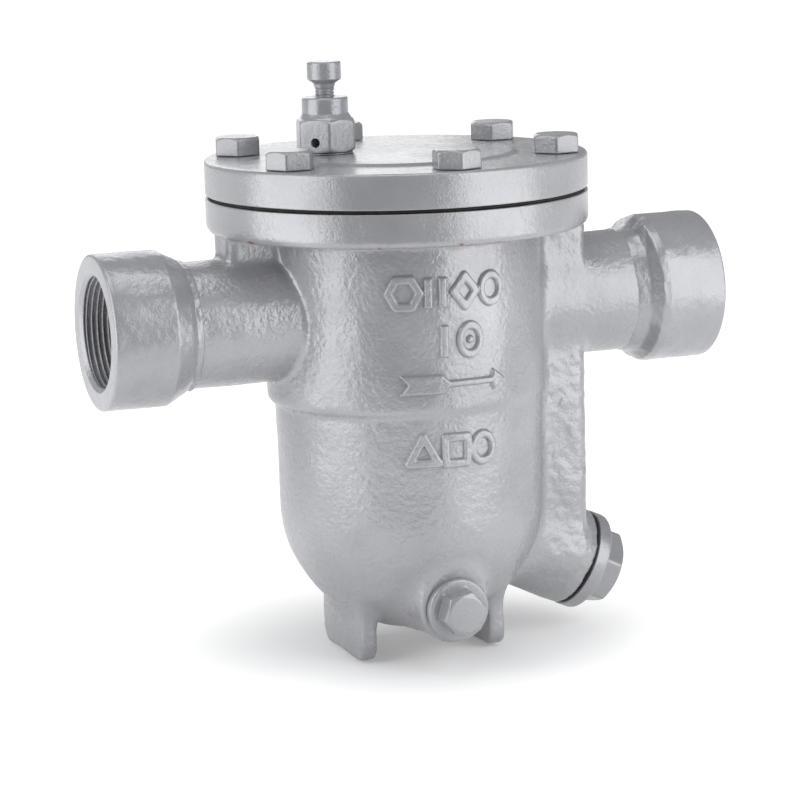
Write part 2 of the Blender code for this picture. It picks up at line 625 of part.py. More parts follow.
def seat_parts():
    """Orifice with its washer in the chamber wall, and the plug and gasket that close its hole."""
    base = SEAT_BOSS_END + PLUG_GASKET_T
    piece, tools = plug("seat_plug", SEAT_PLUG_FLATS, SEAT_PLUG_FLANGE_R, SEAT_PLUG_FLANGE_T, base,
                        SEAT_PLUG_END, SEAT_BORE_R - GAP, SEAT_PLUG_THREAD, SEAT_PLUG_RECESS_R, PAINT)
    place_group([piece, *tools], BOWL_CENTRE, SEAT_AXIS, math.radians(15))
    seal = ring("seat_plug_gasket", SEAT_BORE_R + GAP, SEAT_PLUG_FLANGE_R - EDGE, SEAT_BOSS_END + GAP,
                base - GAP, GASKET, steps=36)
    aim(seal, BOWL_CENTRE, SEAT_AXIS)
    floor = SEAT_BORE_FLOOR
    head = floor + PLUG_GASKET_T
    stem_profile = [(0.0, head + OVERCUT), (ORIFICE_THREAD_R, head + OVERCUT),
                    (ORIFICE_THREAD_R, ORIFICE_TIP + OVERCUT), (ORIFICE_TIP_R, ORIFICE_TIP),
                    (0.0, ORIFICE_TIP)]
    seat, tools = hex_headed("orifice_seat", ORIFICE_FLATS, head, head + ORIFICE_HEAD_T, stem_profile, STEEL)
    top = head + ORIFICE_HEAD_T
    hole = rod("orifice_hole", ORIFICE_HOLE_R, ORIFICE_TIP - OVERCUT, top + OVERCUT, steps=16)
    combine(seat, hole, "DIFFERENCE")
    place_group([seat, *tools, hole], BOWL_CENTRE, SEAT_AXIS)
    washer = ring("orifice_washer", ORIFICE_THREAD_R + GAP, ORIFICE_WASHER_R, floor + GAP, head - GAP,
                  COPPER, steps=SMALL_ROUND)
    aim(washer, BOWL_CENTRE, SEAT_AXIS)


def drain_parts():
    """Plug and gasket on the front of the bowl."""
    base = DRAIN_BOSS_END + PLUG_GASKET_T
    origin = (DRAIN_X, 0.0, DRAIN_Z)
    piece, tools = plug("drain_plug", DRAIN_FLATS, DRAIN_FLANGE_R, DRAIN_FLANGE_T, base, DRAIN_HEAD_END,
                        DRAIN_BORE_R - GAP, DRAIN_THREAD, DRAIN_RECESS_R, PAINT)
    place_group([piece, *tools], origin, DRAIN_AXIS, math.radians(12))
    seal = ring("drain_plug_gasket", DRAIN_BORE_R + GAP, DRAIN_FLANGE_R - 2 * GAP, DRAIN_BOSS_END + GAP,
                base - GAP, GASKET, steps=SMALL_ROUND)
    aim(seal, origin, DRAIN_AXIS)


def float_ball():
    """Hollow float of two pressed halves that meet at the middle."""
    half_gap = math.degrees(GAP / 2 / FLOAT_R)
    shell = arc(0.0, FLOAT_R, 90, half_gap, 8) + arc(0.0, FLOAT_R - FLOAT_WALL, half_gap, 90, 6)
    upper = turned("float_upper_half", shell, STEEL, steps=28)
    upper.location = FLOAT_CENTRE
    lower_profile = [(radius, -height) for radius, height in reversed(shell)]
    lower = turned("float_lower_half", lower_profile, STEEL, steps=28)
    lower.location = FLOAT_CENTRE


def float_guard():
    """Plate with flow holes that stops the float's rise, on the ledge of the chamber."""
    low = LEDGE_Z + GAP
    guard = rod("float_guard", GUARD_R, low, low + GUARD_T, STEEL)
    for index in range(GUARD_HOLES):
        angle = math.tau * index / GUARD_HOLES
        hole = rod(f"guard_hole_{index + 1}", GUARD_HOLE_R, low - EDGE, low + GUARD_T + EDGE, steps=16)
        hole.location = (GUARD_HOLE_CIRCLE_R * math.cos(angle), GUARD_HOLE_CIRCLE_R * math.sin(angle), 0.0)
        combine(guard, hole, "DIFFERENCE")


def strainer():
    """Perforated cylinder round the top of the chamber, and the ring that holds it down."""
    low = LEDGE_Z + GUARD_T + 2 * GAP
    screen = ring("strainer_screen", SCREEN_R - SCREEN_WALL, SCREEN_R, low, SCREEN_TOP_Z, STEEL, steps=36)
    pitch = (SCREEN_TOP_Z - low) / SCREEN_ROWS
    for row in range(SCREEN_ROWS):
        height = low + pitch * (row + 0.5)
        for column in range(SCREEN_COLUMNS):
            angle = math.pi * (column + 0.5 * (row % 2)) / SCREEN_COLUMNS
            way = Vector((math.cos(angle), math.sin(angle), 0.0))
            pin = rod(f"screen_hole_{row}_{column}", SCREEN_HOLE_R, -CHAMBER_R, CHAMBER_R, steps=6)
            combine(screen, aim(pin, (0.0, 0.0, height), way), "DIFFERENCE")
    ring("screen_ring", SCREEN_R - RING_LIPS[0], SCREEN_R + RING_LIPS[1], SCREEN_TOP_Z + GAP,
         SPIGOT_Z - GAP, STEEL, steps=32)


def air_vent():
    """Self-acting air vent: seat in the cover, sealed capsule with a cone, and its cage."""
    head_z = SPIGOT_Z - GAP
    seat_profile = [(AIR_SEAT_R, AIR_SEAT_TOP_Z), (AIR_SEAT_R, head_z), (AIR_SEAT_HEAD_R, head_z),
                    (AIR_SEAT_HEAD_R, AIR_SEAT_FACE_Z), (AIR_WAY_R, AIR_SEAT_FACE_Z),
                    (AIR_WAY_R, AIR_SEAT_TOP_Z)]
    seat = turned("air_vent_seat", seat_profile, STEEL, closed=True, steps=SMALL_ROUND)
    seat.location.x = AIR_X
    floor = AIR_CAGE_BOTTOM_Z + AIR_CAGE_WALL
    cage_profile = [(AIR_CAGE_R, head_z), (AIR_CAGE_R, AIR_CAGE_BOTTOM_Z),
                    (AIR_CAGE_HOLE_R, AIR_CAGE_BOTTOM_Z), (AIR_CAGE_HOLE_R, floor),
                    (AIR_CAGE_R - AIR_CAGE_WALL, floor), (AIR_CAGE_R - AIR_CAGE_WALL, head_z)]
    cage = turned("air_vent_cage", cage_profile, STEEL, closed=True, steps=32)
    cage.location.x = AIR_X
    for index in range(2):
        window = block(f"cage_window_{index}", (-AIR_DROP_X, -AIR_WINDOW, floor + OVERCUT),
                       (AIR_DROP_X, AIR_WINDOW, AIR_WINDOW_TOP_Z))
        window.location.x = AIR_X
        window.rotation_euler.z = math.radians(45 + 90 * index)
        combine(cage, window, "DIFFERENCE")
    capsule_low = floor + GAP
    capsule_profile = [(0.0, AIR_CONE_TOP_Z), (AIR_CONE_R[0], AIR_CONE_TOP_Z),
                       (AIR_CONE_R[1], AIR_CONE_BASE_Z), (AIR_CONE_R[1], AIR_CAPSULE_TOP_Z),
                       (AIR_CAPSULE_R - EDGE, AIR_CAPSULE_TOP_Z),
                       (AIR_CAPSULE_R, AIR_CAPSULE_TOP_Z - EDGE), (AIR_CAPSULE_R, capsule_low + EDGE),
                       (AIR_CAPSULE_R - EDGE, capsule_low), (0.0, capsule_low)]
    capsule = turned("air_vent_capsule", capsule_profile, STEEL, steps=SMALL_ROUND)
    capsule.location.x = AIR_X


clear_scene()
PARTS = make_collection("steam_trap")
TOOLS = make_collection("cutters")
trap_body()
sockets()
cover()
cover_gasket()
cover_bolts()
vent_valve()
seat_parts()
drain_parts()
float_ball()
float_guard()
strainer()
air_vent()
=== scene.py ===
"""Steam trap: painted casting, cover, plugs and vents, with a studio stage.

The casting is the zero surface of a blended distance field, found on a grid of cells.
Everything turned or hexagonal is a profile carried round an axis. Metres, +Z up.
"""

import math
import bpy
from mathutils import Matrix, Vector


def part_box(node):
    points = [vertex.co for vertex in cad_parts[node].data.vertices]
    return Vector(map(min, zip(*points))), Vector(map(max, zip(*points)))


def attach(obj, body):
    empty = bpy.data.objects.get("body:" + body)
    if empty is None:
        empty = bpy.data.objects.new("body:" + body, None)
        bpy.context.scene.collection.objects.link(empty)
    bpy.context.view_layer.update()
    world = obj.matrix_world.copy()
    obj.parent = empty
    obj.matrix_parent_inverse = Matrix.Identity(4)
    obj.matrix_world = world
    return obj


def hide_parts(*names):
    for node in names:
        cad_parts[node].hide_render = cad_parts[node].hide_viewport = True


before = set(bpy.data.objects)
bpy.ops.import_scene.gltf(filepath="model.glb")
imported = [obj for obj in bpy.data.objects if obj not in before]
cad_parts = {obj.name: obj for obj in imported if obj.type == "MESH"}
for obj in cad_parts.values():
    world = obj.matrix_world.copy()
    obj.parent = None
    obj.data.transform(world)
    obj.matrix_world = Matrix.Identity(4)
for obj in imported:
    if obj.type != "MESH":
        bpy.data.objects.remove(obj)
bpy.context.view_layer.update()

from types import SimpleNamespace

import bpy
import numpy as np
from bpy.props import FloatProperty, FloatVectorProperty, IntProperty, PointerProperty
from bpy.types import Operator, Panel, PropertyGroup
from mathutils import Matrix, Quaternion, Vector

bl_info = {
    "name": "Steam Trap",
    "version": (1, 0, 0),
    "blender": (4, 5, 0),
    "location": "View3D > Sidebar > Steam Trap",
    "description": "Builds the visible pieces of a free-float steam trap round its packed model",
    "category": "Object",
}

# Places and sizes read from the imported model.
BODY_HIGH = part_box("trap_body")[1]
SOCKET_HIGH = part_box("outlet_socket")[1]
COVER_LOW, COVER_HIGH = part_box("cover")
GASKET_LOW, GASKET_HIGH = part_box("cover_gasket")
SCREW_LOW, SCREW_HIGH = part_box("vent_screw")
VENT_LOW, VENT_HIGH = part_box("vent_valve_body")
DRAIN_LOW, DRAIN_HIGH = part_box("drain_plug")
FLOAT_LOW, FLOAT_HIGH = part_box("float_upper_half")

FACE_X = SOCKET_HIGH.x
FLANGE_R = BODY_HIGH.y - 0.0001
FLANGE_TOP = BODY_HIGH.z
FLANGE_X = (COVER_LOW.x + COVER_HIGH.x) / 2
COVER_R = (COVER_HIGH.y - COVER_LOW.y) / 2
DISC_TOP = COVER_HIGH.z
GASKET_R = (GASKET_HIGH.y - GASKET_LOW.y) / 2
VENT_X = (SCREW_LOW.x + SCREW_HIGH.x) / 2
VENT_Y = (SCREW_LOW.y + SCREW_HIGH.y) / 2
DRAIN_X = (DRAIN_LOW.x + DRAIN_HIGH.x) / 2
DRAIN_Z = (DRAIN_LOW.z + DRAIN_HIGH.z) / 2

# Clearance between pieces that touch on the real trap.
GAP = 0.0003

# Necks, barrels and bowl of the casting, as the solids have them.
PIPE_Z = 0.146
NECK_R = 0.0261
SKIN_END = 0.100
PASSAGE_R = 0.0190
INLET_PASSAGE_END = -0.040
BARREL_R = 0.05615
BOWL_R = 0.0555
BOWL_Z = 0.0647
SEAM_Z = 0.1087
SEAM_LAP = 0.004
UPPER_R = 0.0585
UPPER_X = -0.0011
UPPER_FLATTEN = 1.022
CHAMBER_R = 0.0485
UPPER_CHAMBER_R = 0.0510
LEDGE_Z = 0.1120
FLANGE_BOTTOM = 0.1810
# How far the skin stays inside the turned flange, which hides its edge.
FLANGE_SKIN_MARGIN = 0.004
FLANGE_SKIN_TOP = FLANGE_TOP - 0.005
RECESS_R = 0.0520

# Riser and the passage inside it.
RISER_INNER_X = 0.030
RISER_OUTER_X = 0.0745
RISER_HALF_WIDTH = 0.0212
RISER_Z = (0.030, 0.160)
RISER_HOLE_X = (0.0565, 0.0675)
RISER_HOLE_HALF_WIDTH = 0.0132
RISER_HOLE_Z = (0.036, 0.150)

# Webs under the flange and feet, by the side they stand on: -1 inlet, 1 outlet.
WEB_INNER_X = 0.045
WEB_OUTER_X = {-1: 0.0805, 1: 0.0741}
WEB_HALF_WIDTH = {-1: 0.0100, 1: 0.0212}
WEB_Z = (0.140, 0.192)
FOOT_X = 0.029
FOOT_T = 0.0070
FOOT_HALF_WIDTH = 0.0240
FOOT_TOP = 0.040
FOOT_CORNER_R = 0.008

# Boss and bores of the orifice, measured along the tilted axis from the bowl's middle.
SEAT_TILT = math.radians(25)
SEAT_AXIS = Vector((math.cos(SEAT_TILT), 0.0, -math.sin(SEAT_TILT)))
SEAT_BOSS_R = 0.0214
SEAT_BOSS_START = 0.030
SEAT_BOSS_END = 0.0822
SEAT_BORE_R = 0.0153
SEAT_BORE_FLOOR = 0.0560
ORIFICE_BORE_R = 0.0073
ORIFICE_BORE_START = 0.0400

# Boss and bore of the drain, measured towards -Y.
DRAIN_BOSS_R = 0.0150
DRAIN_BOSS_START = 0.026
DRAIN_BOSS_END = 0.0492
DRAIN_BORE_R = 0.0083
DRAIN_BORE_START = 0.020

# Fillets where parts of the casting meet, and roundings of their edges.
SEAM_EDGE = 0.0045
FLANGE_FILLET = 0.0050
RISER_EDGE = 0.0060
RISER_FILLET = 0.0050
NECK_FILLET = {-1: 0.0014, 1: 0.0040}
SEAT_BOSS_EDGE = 0.0015
SEAT_BOSS_FILLET = 0.0060
DRAIN_BOSS_EDGE = 0.0022
DRAIN_BOSS_FILLET = 0.0085
WEB_EDGE = 0.0035
WEB_FILLET = 0.0030
FOOT_EDGE = 0.0016
FOOT_CORNER_EDGE = 0.0015
FOOT_FILLET = 0.0055

# Collars: bore at the thread's crests, thread, and the coned shoulder's (radius, distance from the
# trap's middle, rounding) corners on each side.
SOCKET_BORE_R = 0.02242
SOCKET_BORE_END = FACE_X - 0.0255
COLLAR_START = FACE_X - 0.0262
NECK_BEAD_R = 0.0250
THREAD_PITCH = 0.002309
THREAD_DEPTH = 0.00148
SHOULDERS = {
    -1: [(NECK_BEAD_R, 0.0962, 0.0), (0.0266, 0.0972, 0.0006), (0.0268, 0.0996, 0.0008),
         (0.0285, 0.1020, 0.0030), (0.0320, COLLAR_START, 0.0026)],
    1: [(NECK_BEAD_R, 0.0930, 0.0), (0.0263, 0.0968, 0.0050), (0.0276, 0.1018, 0.0030),
        (0.0311, 0.1056, 0.0024), (0.0317, COLLAR_START, 0.0008)],
}
# Rotations that take a collar's own +Z to its side.
PIPE_BASIS = {
    -1: Matrix(((0, 0, -1), (0, 1, 0), (1, 0, 0))),
    1: Matrix(((0, 0, 1), (0, 1, 0), (-1, 0, 0))),
}

# Cover, gasket and bolts.
COVER_BOTTOM = 0.1965
COVER_TOP = 0.2108
COVER_DISC_R = (0.0490, 0.0508)
SPIGOT_R = 0.0515
GASKET_BORE_R = 0.0530
BOLT_CIRCLE_R = 0.0670
BOLT_ANGLES = (-30, -90, -150, 150, 90, 30)
BOLT_HEAD_TURNS = (8, 20, 2, 14, 26, 5)
BOLT_R = 0.0060
BOLT_FLATS = 0.0180

# Hand vent.
VENT_FLATS = 0.0230
VENT_HEX_TURN = math.radians(-102)
VENT_HEX_BOTTOM = 0.2127
VENT_HEX_TOP = 0.2263
VENT_COLLAR_R = 0.0096
VENT_SHANK_R = 0.0077
VENT_TAP_R = 0.0030
VENT_CAVITY_R = 0.0044
VENT_CAVITY_BOTTOM = 0.2236
VENT_SCREW_R = 0.0041
VENT_THREAD_PITCH = 0.00125
VENT_THREAD_DEPTH = 0.00055
VENT_KNOB_R = 0.00705
VENT_KNOB_BOTTOM = 0.2408
VENT_OUTLET_ANGLE = math.radians(-132)
VENT_OUTLET_R = 0.0020
VENT_OUTLET_REACH = (0.0040, 0.0140)
VENT_OUTLET_Z = 0.2170

# Plugs and their gaskets. Lengths are measured along the plug's axis from its origin.
PLUG_GASKET_T = 0.0012
PLUGS = (
    SimpleNamespace(name="orifice_plug", node="seat_plug", origin=(0, 0, BOWL_Z), axis=SEAT_AXIS,
                    turn=math.radians(15), boss_end=SEAT_BOSS_END, flange_r=0.0215, flange_t=0.0062,
                    flats=0.0300, crown=0.93, head_end=0.1005, thread_r=0.0150, thread_length=0.0100,
                    seal_bore_r=0.0156, seal_r=0.0206),
    SimpleNamespace(name="drain_cap", node="drain_plug", origin=(DRAIN_X, 0, DRAIN_Z), axis=(0, -1, 0),
                    turn=math.radians(12), boss_end=DRAIN_BOSS_END, flange_r=0.0132, flange_t=0.0035,
                    flats=0.0170, crown=0.90, head_end=0.0622, thread_r=0.0080, thread_length=0.0090,
                    seal_bore_r=0.0086, seal_r=0.0126),
)

# Raised marks: half the width of a stroke, the width of its sloping side, the depth of the patch's
# sunk margin, and the patch's wall.
STROKE = 0.0018
MARK_SLOPE = 0.0014
MARK_SUNK = 0.0007
MARK_WALL = 0.0012

FLOAT_WALL = 0.0012

# Stage: (name, azimuth, distance, height, (width, height), radiance, height aimed at).
SOFT_BOXES = (
    ("left_box", -84, 0.55, 0.36, (0.50, 0.72), 2.6, 0.36),
    ("right_box", 37, 0.55, 0.36, (0.50, 0.72), 2.6, 0.36),
    ("back_box", 174, 1.20, 0.62, (0.80, 0.60), 1.7, 0.21),
    ("top_box", -40, 0.10, 1.10, (0.60, 0.60), 2.4, 0.20),
)
WORLD_COLOUR = (0.96, 0.98, 1.0, 1)
WORLD_STRENGTH = 0.37
FLOOR_REACH = 12.0
FLOOR_Z = -0.0004
CAMERA_TARGET = Vector((0.00351, 0.0, 0.10175))
CAMERA_SHIFT = (-0.0200, 0.0117)


# ---------------------------------------------------------------- mesh making

def make_piece(name, points, faces, body, material, replaced=()):
    """Object at the origin from point and face arrays, riding on a body of the model."""
    mesh = bpy.data.meshes.new(name)
    counts = np.array([len(face_set[0]) for face_set in faces for _ in range(len(face_set))], np.int32)
    corners = np.concatenate([np.asarray(face_set, np.int32).ravel() for face_set in faces])
    mesh.vertices.add(len(points))
    mesh.vertices.foreach_set("co", np.asarray(points, np.float32).ravel())
    mesh.loops.add(len(corners))
    mesh.loops.foreach_set("vertex_index", corners)
    mesh.polygons.add(len(counts))
    mesh.polygons.foreach_set("loop_start", np.concatenate([[0], np.cumsum(counts)[:-1]]).astype(np.int32))
    mesh.update(calc_edges=True)
    mesh.validate()
    mesh.shade_smooth()
    item = bpy.data.objects.new(name, mesh)
    bpy.context.scene.collection.objects.link(item)
    mesh.materials.append(material)
    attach(item, body)
    if replaced:
        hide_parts(*replaced)
    return item


def wave_noise(points, wavelength, seed, waves=28):
    """Sum of plane waves in seeded directions, each near one wavelength, scaled to about one."""
    random = np.random.default_rng(seed)
    directions = random.normal(size=(waves, 3))
    directions /= np.linalg.norm(directions, axis=1)[:, None]
    numbers = math.tau / wavelength * random.uniform(0.6, 1.5, waves)
    phases = random.uniform(0, math.tau, waves)
    total = np.zeros(len(points))
    for direction, number, phase in zip(directions, numbers, phases):
        total += np.sin(points @ direction * number + phase)
    return total / math.sqrt(waves / 2)


def rounded_profile(corners, spacing=0.0012, closed=False):
    """Points along (radius, height, rounding) corners. Each corner is an arc that touches its two
    sides, and the straight stretches between the arcs are divided evenly at the spacing."""
    count = len(corners)
    stretches = []
    for index, (radius, height, rounding) in enumerate(corners):
        here = np.array((radius, height))
        if rounding == 0 or (not closed and index in (0, count - 1)):
            stretches.append(here[None, :])
            continue
        before = np.array(corners[index - 1][:2]) - here
        after = np.array(corners[(index + 1) % count][:2]) - here
        before /= np.linalg.norm(before)
        after /= np.linalg.norm(after)
        half_angle = math.acos(max(-1.0, min(1.0, float(before @ after)))) / 2
        centre = here + (before + after) / np.linalg.norm(before + after) * rounding / math.sin(half_angle)
        start = here + before * rounding / math.tan(half_angle) - centre
        sweep = math.pi - 2 * half_angle
        end = here + after * rounding / math.tan(half_angle) - centre
        turn = math.copysign(1.0, start[0] * end[1] - start[1] * end[0])
        angles = turn * sweep * np.linspace(0, 1, 6)
        arc = np.stack([start[0] * np.cos(angles) - start[1] * np.sin(angles),
                        start[0] * np.sin(angles) + start[1] * np.cos(angles)], axis=1)
        stretches.append(centre + arc)
    pieces = []
    for index, stretch in enumerate(stretches):
        pieces.append(stretch)
        if index + 1 < count or closed:
            end = stretches[(index + 1) % count][0]
            length = np.linalg.norm(end - stretch[-1])
            parts = max(1, int(round(length / spacing)))
            steps = np.linspace(0, 1, parts + 1)[1:-1, None]
            pieces.append(stretch[-1] + (end - stretch[-1]) * steps)
    return np.concatenate(pieces)


def carried_round(rows, closed):
    """Point and face arrays of rows[s, t] carried round an axis. Rows close on themselves in t.
    A closed profile joins its last row to its first; an open one ends in a pole at each end."""
    row_count, around, _ = rows.shape
    across = np.arange(around)
    following = (across + 1) % around
    if closed:
        first = np.arange(row_count)[:, None] * around
        second = ((np.arange(row_count) + 1) % row_count)[:, None] * around
        quads = np.stack([first + across, second + across, second + following, first + following], axis=2)
        return rows.reshape(-1, 3), [quads.reshape(-1, 4)]
    inner = rows[1:-1]
    points = np.concatenate([rows[0].mean(0)[None], inner.reshape(-1, 3), rows[-1].mean(0)[None]])
    first = 1 + np.arange(row_count - 3)[:, None] * around
    second = first + around
    quads = np.stack([first + across, second + across, second + following, first + following], axis=2)
    top = np.stack([np.zeros(around, int), 1 + across, 1 + following], axis=1)
    last = 1 + (row_count - 3) * around
    tip = np.full(around, len(points) - 1)
    bottom = np.stack([last + across, tip, last + following], axis=1)
    return points, [top, quads.reshape(-1, 4), bottom]


def turned_rows(profile, around):
    """rows[s, t] of a turned surface: radius times (cos, sin) of the angle, at the profile's height."""
    angles = np.arange(around) * math.tau / around
    radius = profile[:, 0][:, None] * np.ones(around)
    height = profile[:, 1][:, None] * np.ones(around)
    return np.stack([radius * np.cos(angles), radius * np.sin(angles), height], axis=2)


def placed(rows, origin, basis=None):
    """Rows moved from their own frame, whose axis is +Z, to their place."""
    turned = rows if basis is None else rows @ np.array(basis).T
    return turned + np.array(origin)


def axis_basis(direction, spin=0.0):
    """Rotation that takes +Z to a direction, after a spin about it."""
    turn = Vector((0, 0, 1)).rotation_difference(Vector(direction)).to_matrix()
    return turn @ Matrix.Rotation(spin, 3, "Z")


def turned_piece(name, corners, body, material, origin=(0, 0, 0), basis=None, around=128,
                 spacing=0.0012, closed=False, replaced=()):
    """Turned piece from (radius, height, rounding) corners that run down its outer side."""
    rows = turned_rows(rounded_profile(corners, spacing, closed), around)
    points, faces = carried_round(placed(rows, origin, basis), closed)
    return make_piece(name, points, faces, body, material, replaced)


def hexagon_radius(angles, across_flats, softness=46):
    """Radius of a soft-cornered hexagon: the high norm of the distances to its three pairs of flats."""
    total = sum(np.abs(np.cos(angles - math.pi / 6 - k * math.pi / 3)) ** softness for k in range(3))
    return across_flats / 2 / total ** (1 / softness)


def hexagon_rows(across_flats, top, bottom, crown=0.94, around=144, under_chamfer=False):
    """rows[s, t] of a hexagon head: flat round crown, 30 degree cone, sides, and the face below.
    The cone starts at the crown's share of the inscribed circle and cuts the corners."""
    angles = np.arange(around) * math.tau / around
    side = hexagon_radius(angles, across_flats)
    crown_r = across_flats / 2 * crown
    slope = math.tan(math.radians(30))
    rows = []
    for share in np.linspace(0, 1, 9):
        rows.append((crown_r * share * np.ones(around), top * np.ones(around)))
    for share in np.linspace(0.15, 1, 6):
        radius = crown_r + (side - crown_r) * share
        rows.append((radius, top - (radius - crown_r) * slope))
    upper = top - (side - crown_r) * slope
    lower = bottom + (side - crown_r) * slope * (1 if under_chamfer else 0)
    for share in np.linspace(0.06, 0.94, 14):
        rows.append((side, upper + (lower - upper) * share))
    if under_chamfer:
        for share in np.linspace(1, 0.15, 5):
            radius = crown_r + (side - crown_r) * share
            rows.append((radius, bottom + (radius - crown_r) * slope))
    else:
        rows.append((side, bottom * np.ones(around)))
    radius = np.stack([row[0] for row in rows])
    height = np.stack([row[1] for row in rows])
    return softened(np.stack([radius * np.cos(angles), radius * np.sin(angles), height], axis=2), 2, 9)


def softened(rows, passes, start=1):
    """Rows averaged with their neighbours along the profile, which rounds its edges a little."""
    rows = rows.copy()
    for _ in range(passes):
        rows[start:-1] = rows[start:-1] * 0.5 + (rows[start - 1:-2] + rows[start + 1:]) * 0.25
    return rows


# ------------------------------------------------------------ casting's field

def smooth_union(first, second, blend):
    """Lower of two fields, rounded over the blend where they are nearly equal: a fillet."""
    share = np.clip(0.5 + 0.5 * (second - first) / blend, 0, 1)
    return second + (first - second) * share - blend * share * (1 - share)


def smooth_cut(first, second, blend):
    """Higher of two fields, rounded over the blend: a rounded edge."""
    return -smooth_union(-first, -second, blend)


def box_field(x, y, z, low, high, rounding):
    """Distance to a box with rounded edges."""
    offsets = []
    for value, a, b in zip((x, y, z), low, high):
        offsets.append(np.abs(value - (a + b) / 2) - (b - a) / 2 + rounding)
    outside = np.sqrt(sum(np.maximum(offset, 0) ** 2 for offset in offsets))
    inside = np.minimum(np.maximum(np.maximum(offsets[0], offsets[1]), offsets[2]), 0)
    return outside + inside - rounding


def seat_distances(x, y, z):
    """Distance along the tilted seat axis from the bowl's middle, and distance from that axis."""
    along = x * SEAT_AXIS.x + (z - BOWL_Z) * SEAT_AXIS.z
    across = np.sqrt(np.maximum(x * x + y * y + (z - BOWL_Z) ** 2 - along * along, 0))
    return along, across


def barrel_field(x, y, z):
    """Lower barrel with its round bottom, and the upper barrel that steps out at the seam."""
    flat_distance = np.hypot(x, y)
    below = np.minimum(z - BOWL_Z, 0)
    draft = (BARREL_R - BOWL_R) / (SEAM_Z - BOWL_Z)
    lower = np.hypot(flat_distance, below) - BOWL_R - draft * np.clip(z - BOWL_Z, 0, SEAM_Z - BOWL_Z)
    lower = np.maximum(lower, z - SEAM_Z - SEAM_LAP)
    upper = np.hypot(x - UPPER_X, y * UPPER_FLATTEN) - UPPER_R
    upper = smooth_cut(upper, SEAM_Z - z, SEAM_EDGE)
    return np.minimum(lower, upper)


def seat_boss_field(x, y, z):
    """Round boss along the tilted seat axis."""
    along, across = seat_distances(x, y, z)
    boss = smooth_cut(across - SEAT_BOSS_R, along - SEAT_BOSS_END, SEAT_BOSS_EDGE)
    return np.maximum(boss, SEAT_BOSS_START - along)


def drain_boss_field(x, y, z):
    """Round boss on the bowl's front."""
    across = np.hypot(x - DRAIN_X, z - DRAIN_Z)
    boss = smooth_cut(across - DRAIN_BOSS_R, -y - DRAIN_BOSS_END, DRAIN_BOSS_EDGE)
    return np.maximum(boss, y + DRAIN_BOSS_START)


def web_field(x, y, z, side):
    """Box under the flange, from inside the barrel out to the web's end."""
    low_x, high_x = sorted((side * WEB_INNER_X, side * WEB_OUTER_X[side]))
    half_width = WEB_HALF_WIDTH[side]
    return box_field(x, y, z, (low_x, -half_width, WEB_Z[0]), (high_x, half_width, WEB_Z[1]), WEB_EDGE)


def foot_field(x, y, z, side):
    """Upright plate with its two lower corners cut to arcs."""
    low = (side * FOOT_X - FOOT_T / 2, -FOOT_HALF_WIDTH, 0.0)
    high = (side * FOOT_X + FOOT_T / 2, FOOT_HALF_WIDTH, FOOT_TOP)
    plate = box_field(x, y, z, low, high, FOOT_EDGE)
    past_side = np.maximum(np.abs(y) - (FOOT_HALF_WIDTH - FOOT_CORNER_R), 0)
    past_bottom = np.minimum(z - FOOT_CORNER_R, 0)
    corner = np.hypot(past_side, past_bottom) - FOOT_CORNER_R
    return smooth_cut(plate, corner, FOOT_CORNER_EDGE)


def outer_field(x, y, z):
    """Outside of the casting: barrel, flange root, riser, necks, bosses, webs and feet."""
    field = barrel_field(x, y, z)
    disc = np.hypot(x - FLANGE_X, y) - (FLANGE_R - FLANGE_SKIN_MARGIN)
    disc = np.maximum(disc, FLANGE_BOTTOM + 0.0004 - z)
    field = smooth_union(field, disc, FLANGE_FILLET)
    riser = box_field(x, y, z, (RISER_INNER_X, -RISER_HALF_WIDTH, RISER_Z[0]),
                      (RISER_OUTER_X, RISER_HALF_WIDTH, RISER_Z[1]), RISER_EDGE)
    field = smooth_union(field, riser, RISER_FILLET)
    pipe = np.hypot(y, z - PIPE_Z) - NECK_R
    for side in (-1, 1):
        neck = np.maximum(pipe, np.maximum(-side * x, side * x - SKIN_END))
        field = smooth_union(field, neck, NECK_FILLET[side])
    field = smooth_union(field, seat_boss_field(x, y, z), SEAT_BOSS_FILLET)
    field = smooth_union(field, drain_boss_field(x, y, z), DRAIN_BOSS_FILLET)
    for side in (-1, 1):
        field = smooth_union(field, web_field(x, y, z, side), WEB_FILLET)
        field = smooth_union(field, foot_field(x, y, z, side), FOOT_FILLET)
    field = np.maximum(field, z - FLANGE_SKIN_TOP)
    return np.maximum(field, -z)


def cavity_field(x, y, z):
    """Hollow of the casting: float chamber, both passages, riser passage, seat and drain bores."""
    flat_distance = np.hypot(x, y)
    chamber = np.hypot(flat_distance, np.minimum(z - BOWL_Z, 0)) - CHAMBER_R
    upper = np.maximum(flat_distance - UPPER_CHAMBER_R, LEDGE_Z - z)
    cavity = np.minimum(chamber, upper)
    pipe = np.hypot(y, z - PIPE_Z) - PASSAGE_R
    cavity = np.minimum(cavity, np.maximum(pipe, x - INLET_PASSAGE_END))
    cavity = np.minimum(cavity, np.maximum(pipe, RISER_HOLE_X[0] - x))
    riser = box_field(x, y, z, (RISER_HOLE_X[0], -RISER_HOLE_HALF_WIDTH, RISER_HOLE_Z[0]),
                      (RISER_HOLE_X[1], RISER_HOLE_HALF_WIDTH, RISER_HOLE_Z[1]), 0.001)
    cavity = np.minimum(cavity, riser)
    along, across = seat_distances(x, y, z)
    for radius, start in ((SEAT_BORE_R, SEAT_BORE_FLOOR), (ORIFICE_BORE_R, ORIFICE_BORE_START)):
        cavity = np.minimum(cavity, np.maximum(across - radius, start - along))
    drain = np.hypot(x - DRAIN_X, z - DRAIN_Z) - DRAIN_BORE_R
    return np.minimum(cavity, np.maximum(drain, y + DRAIN_BORE_START))


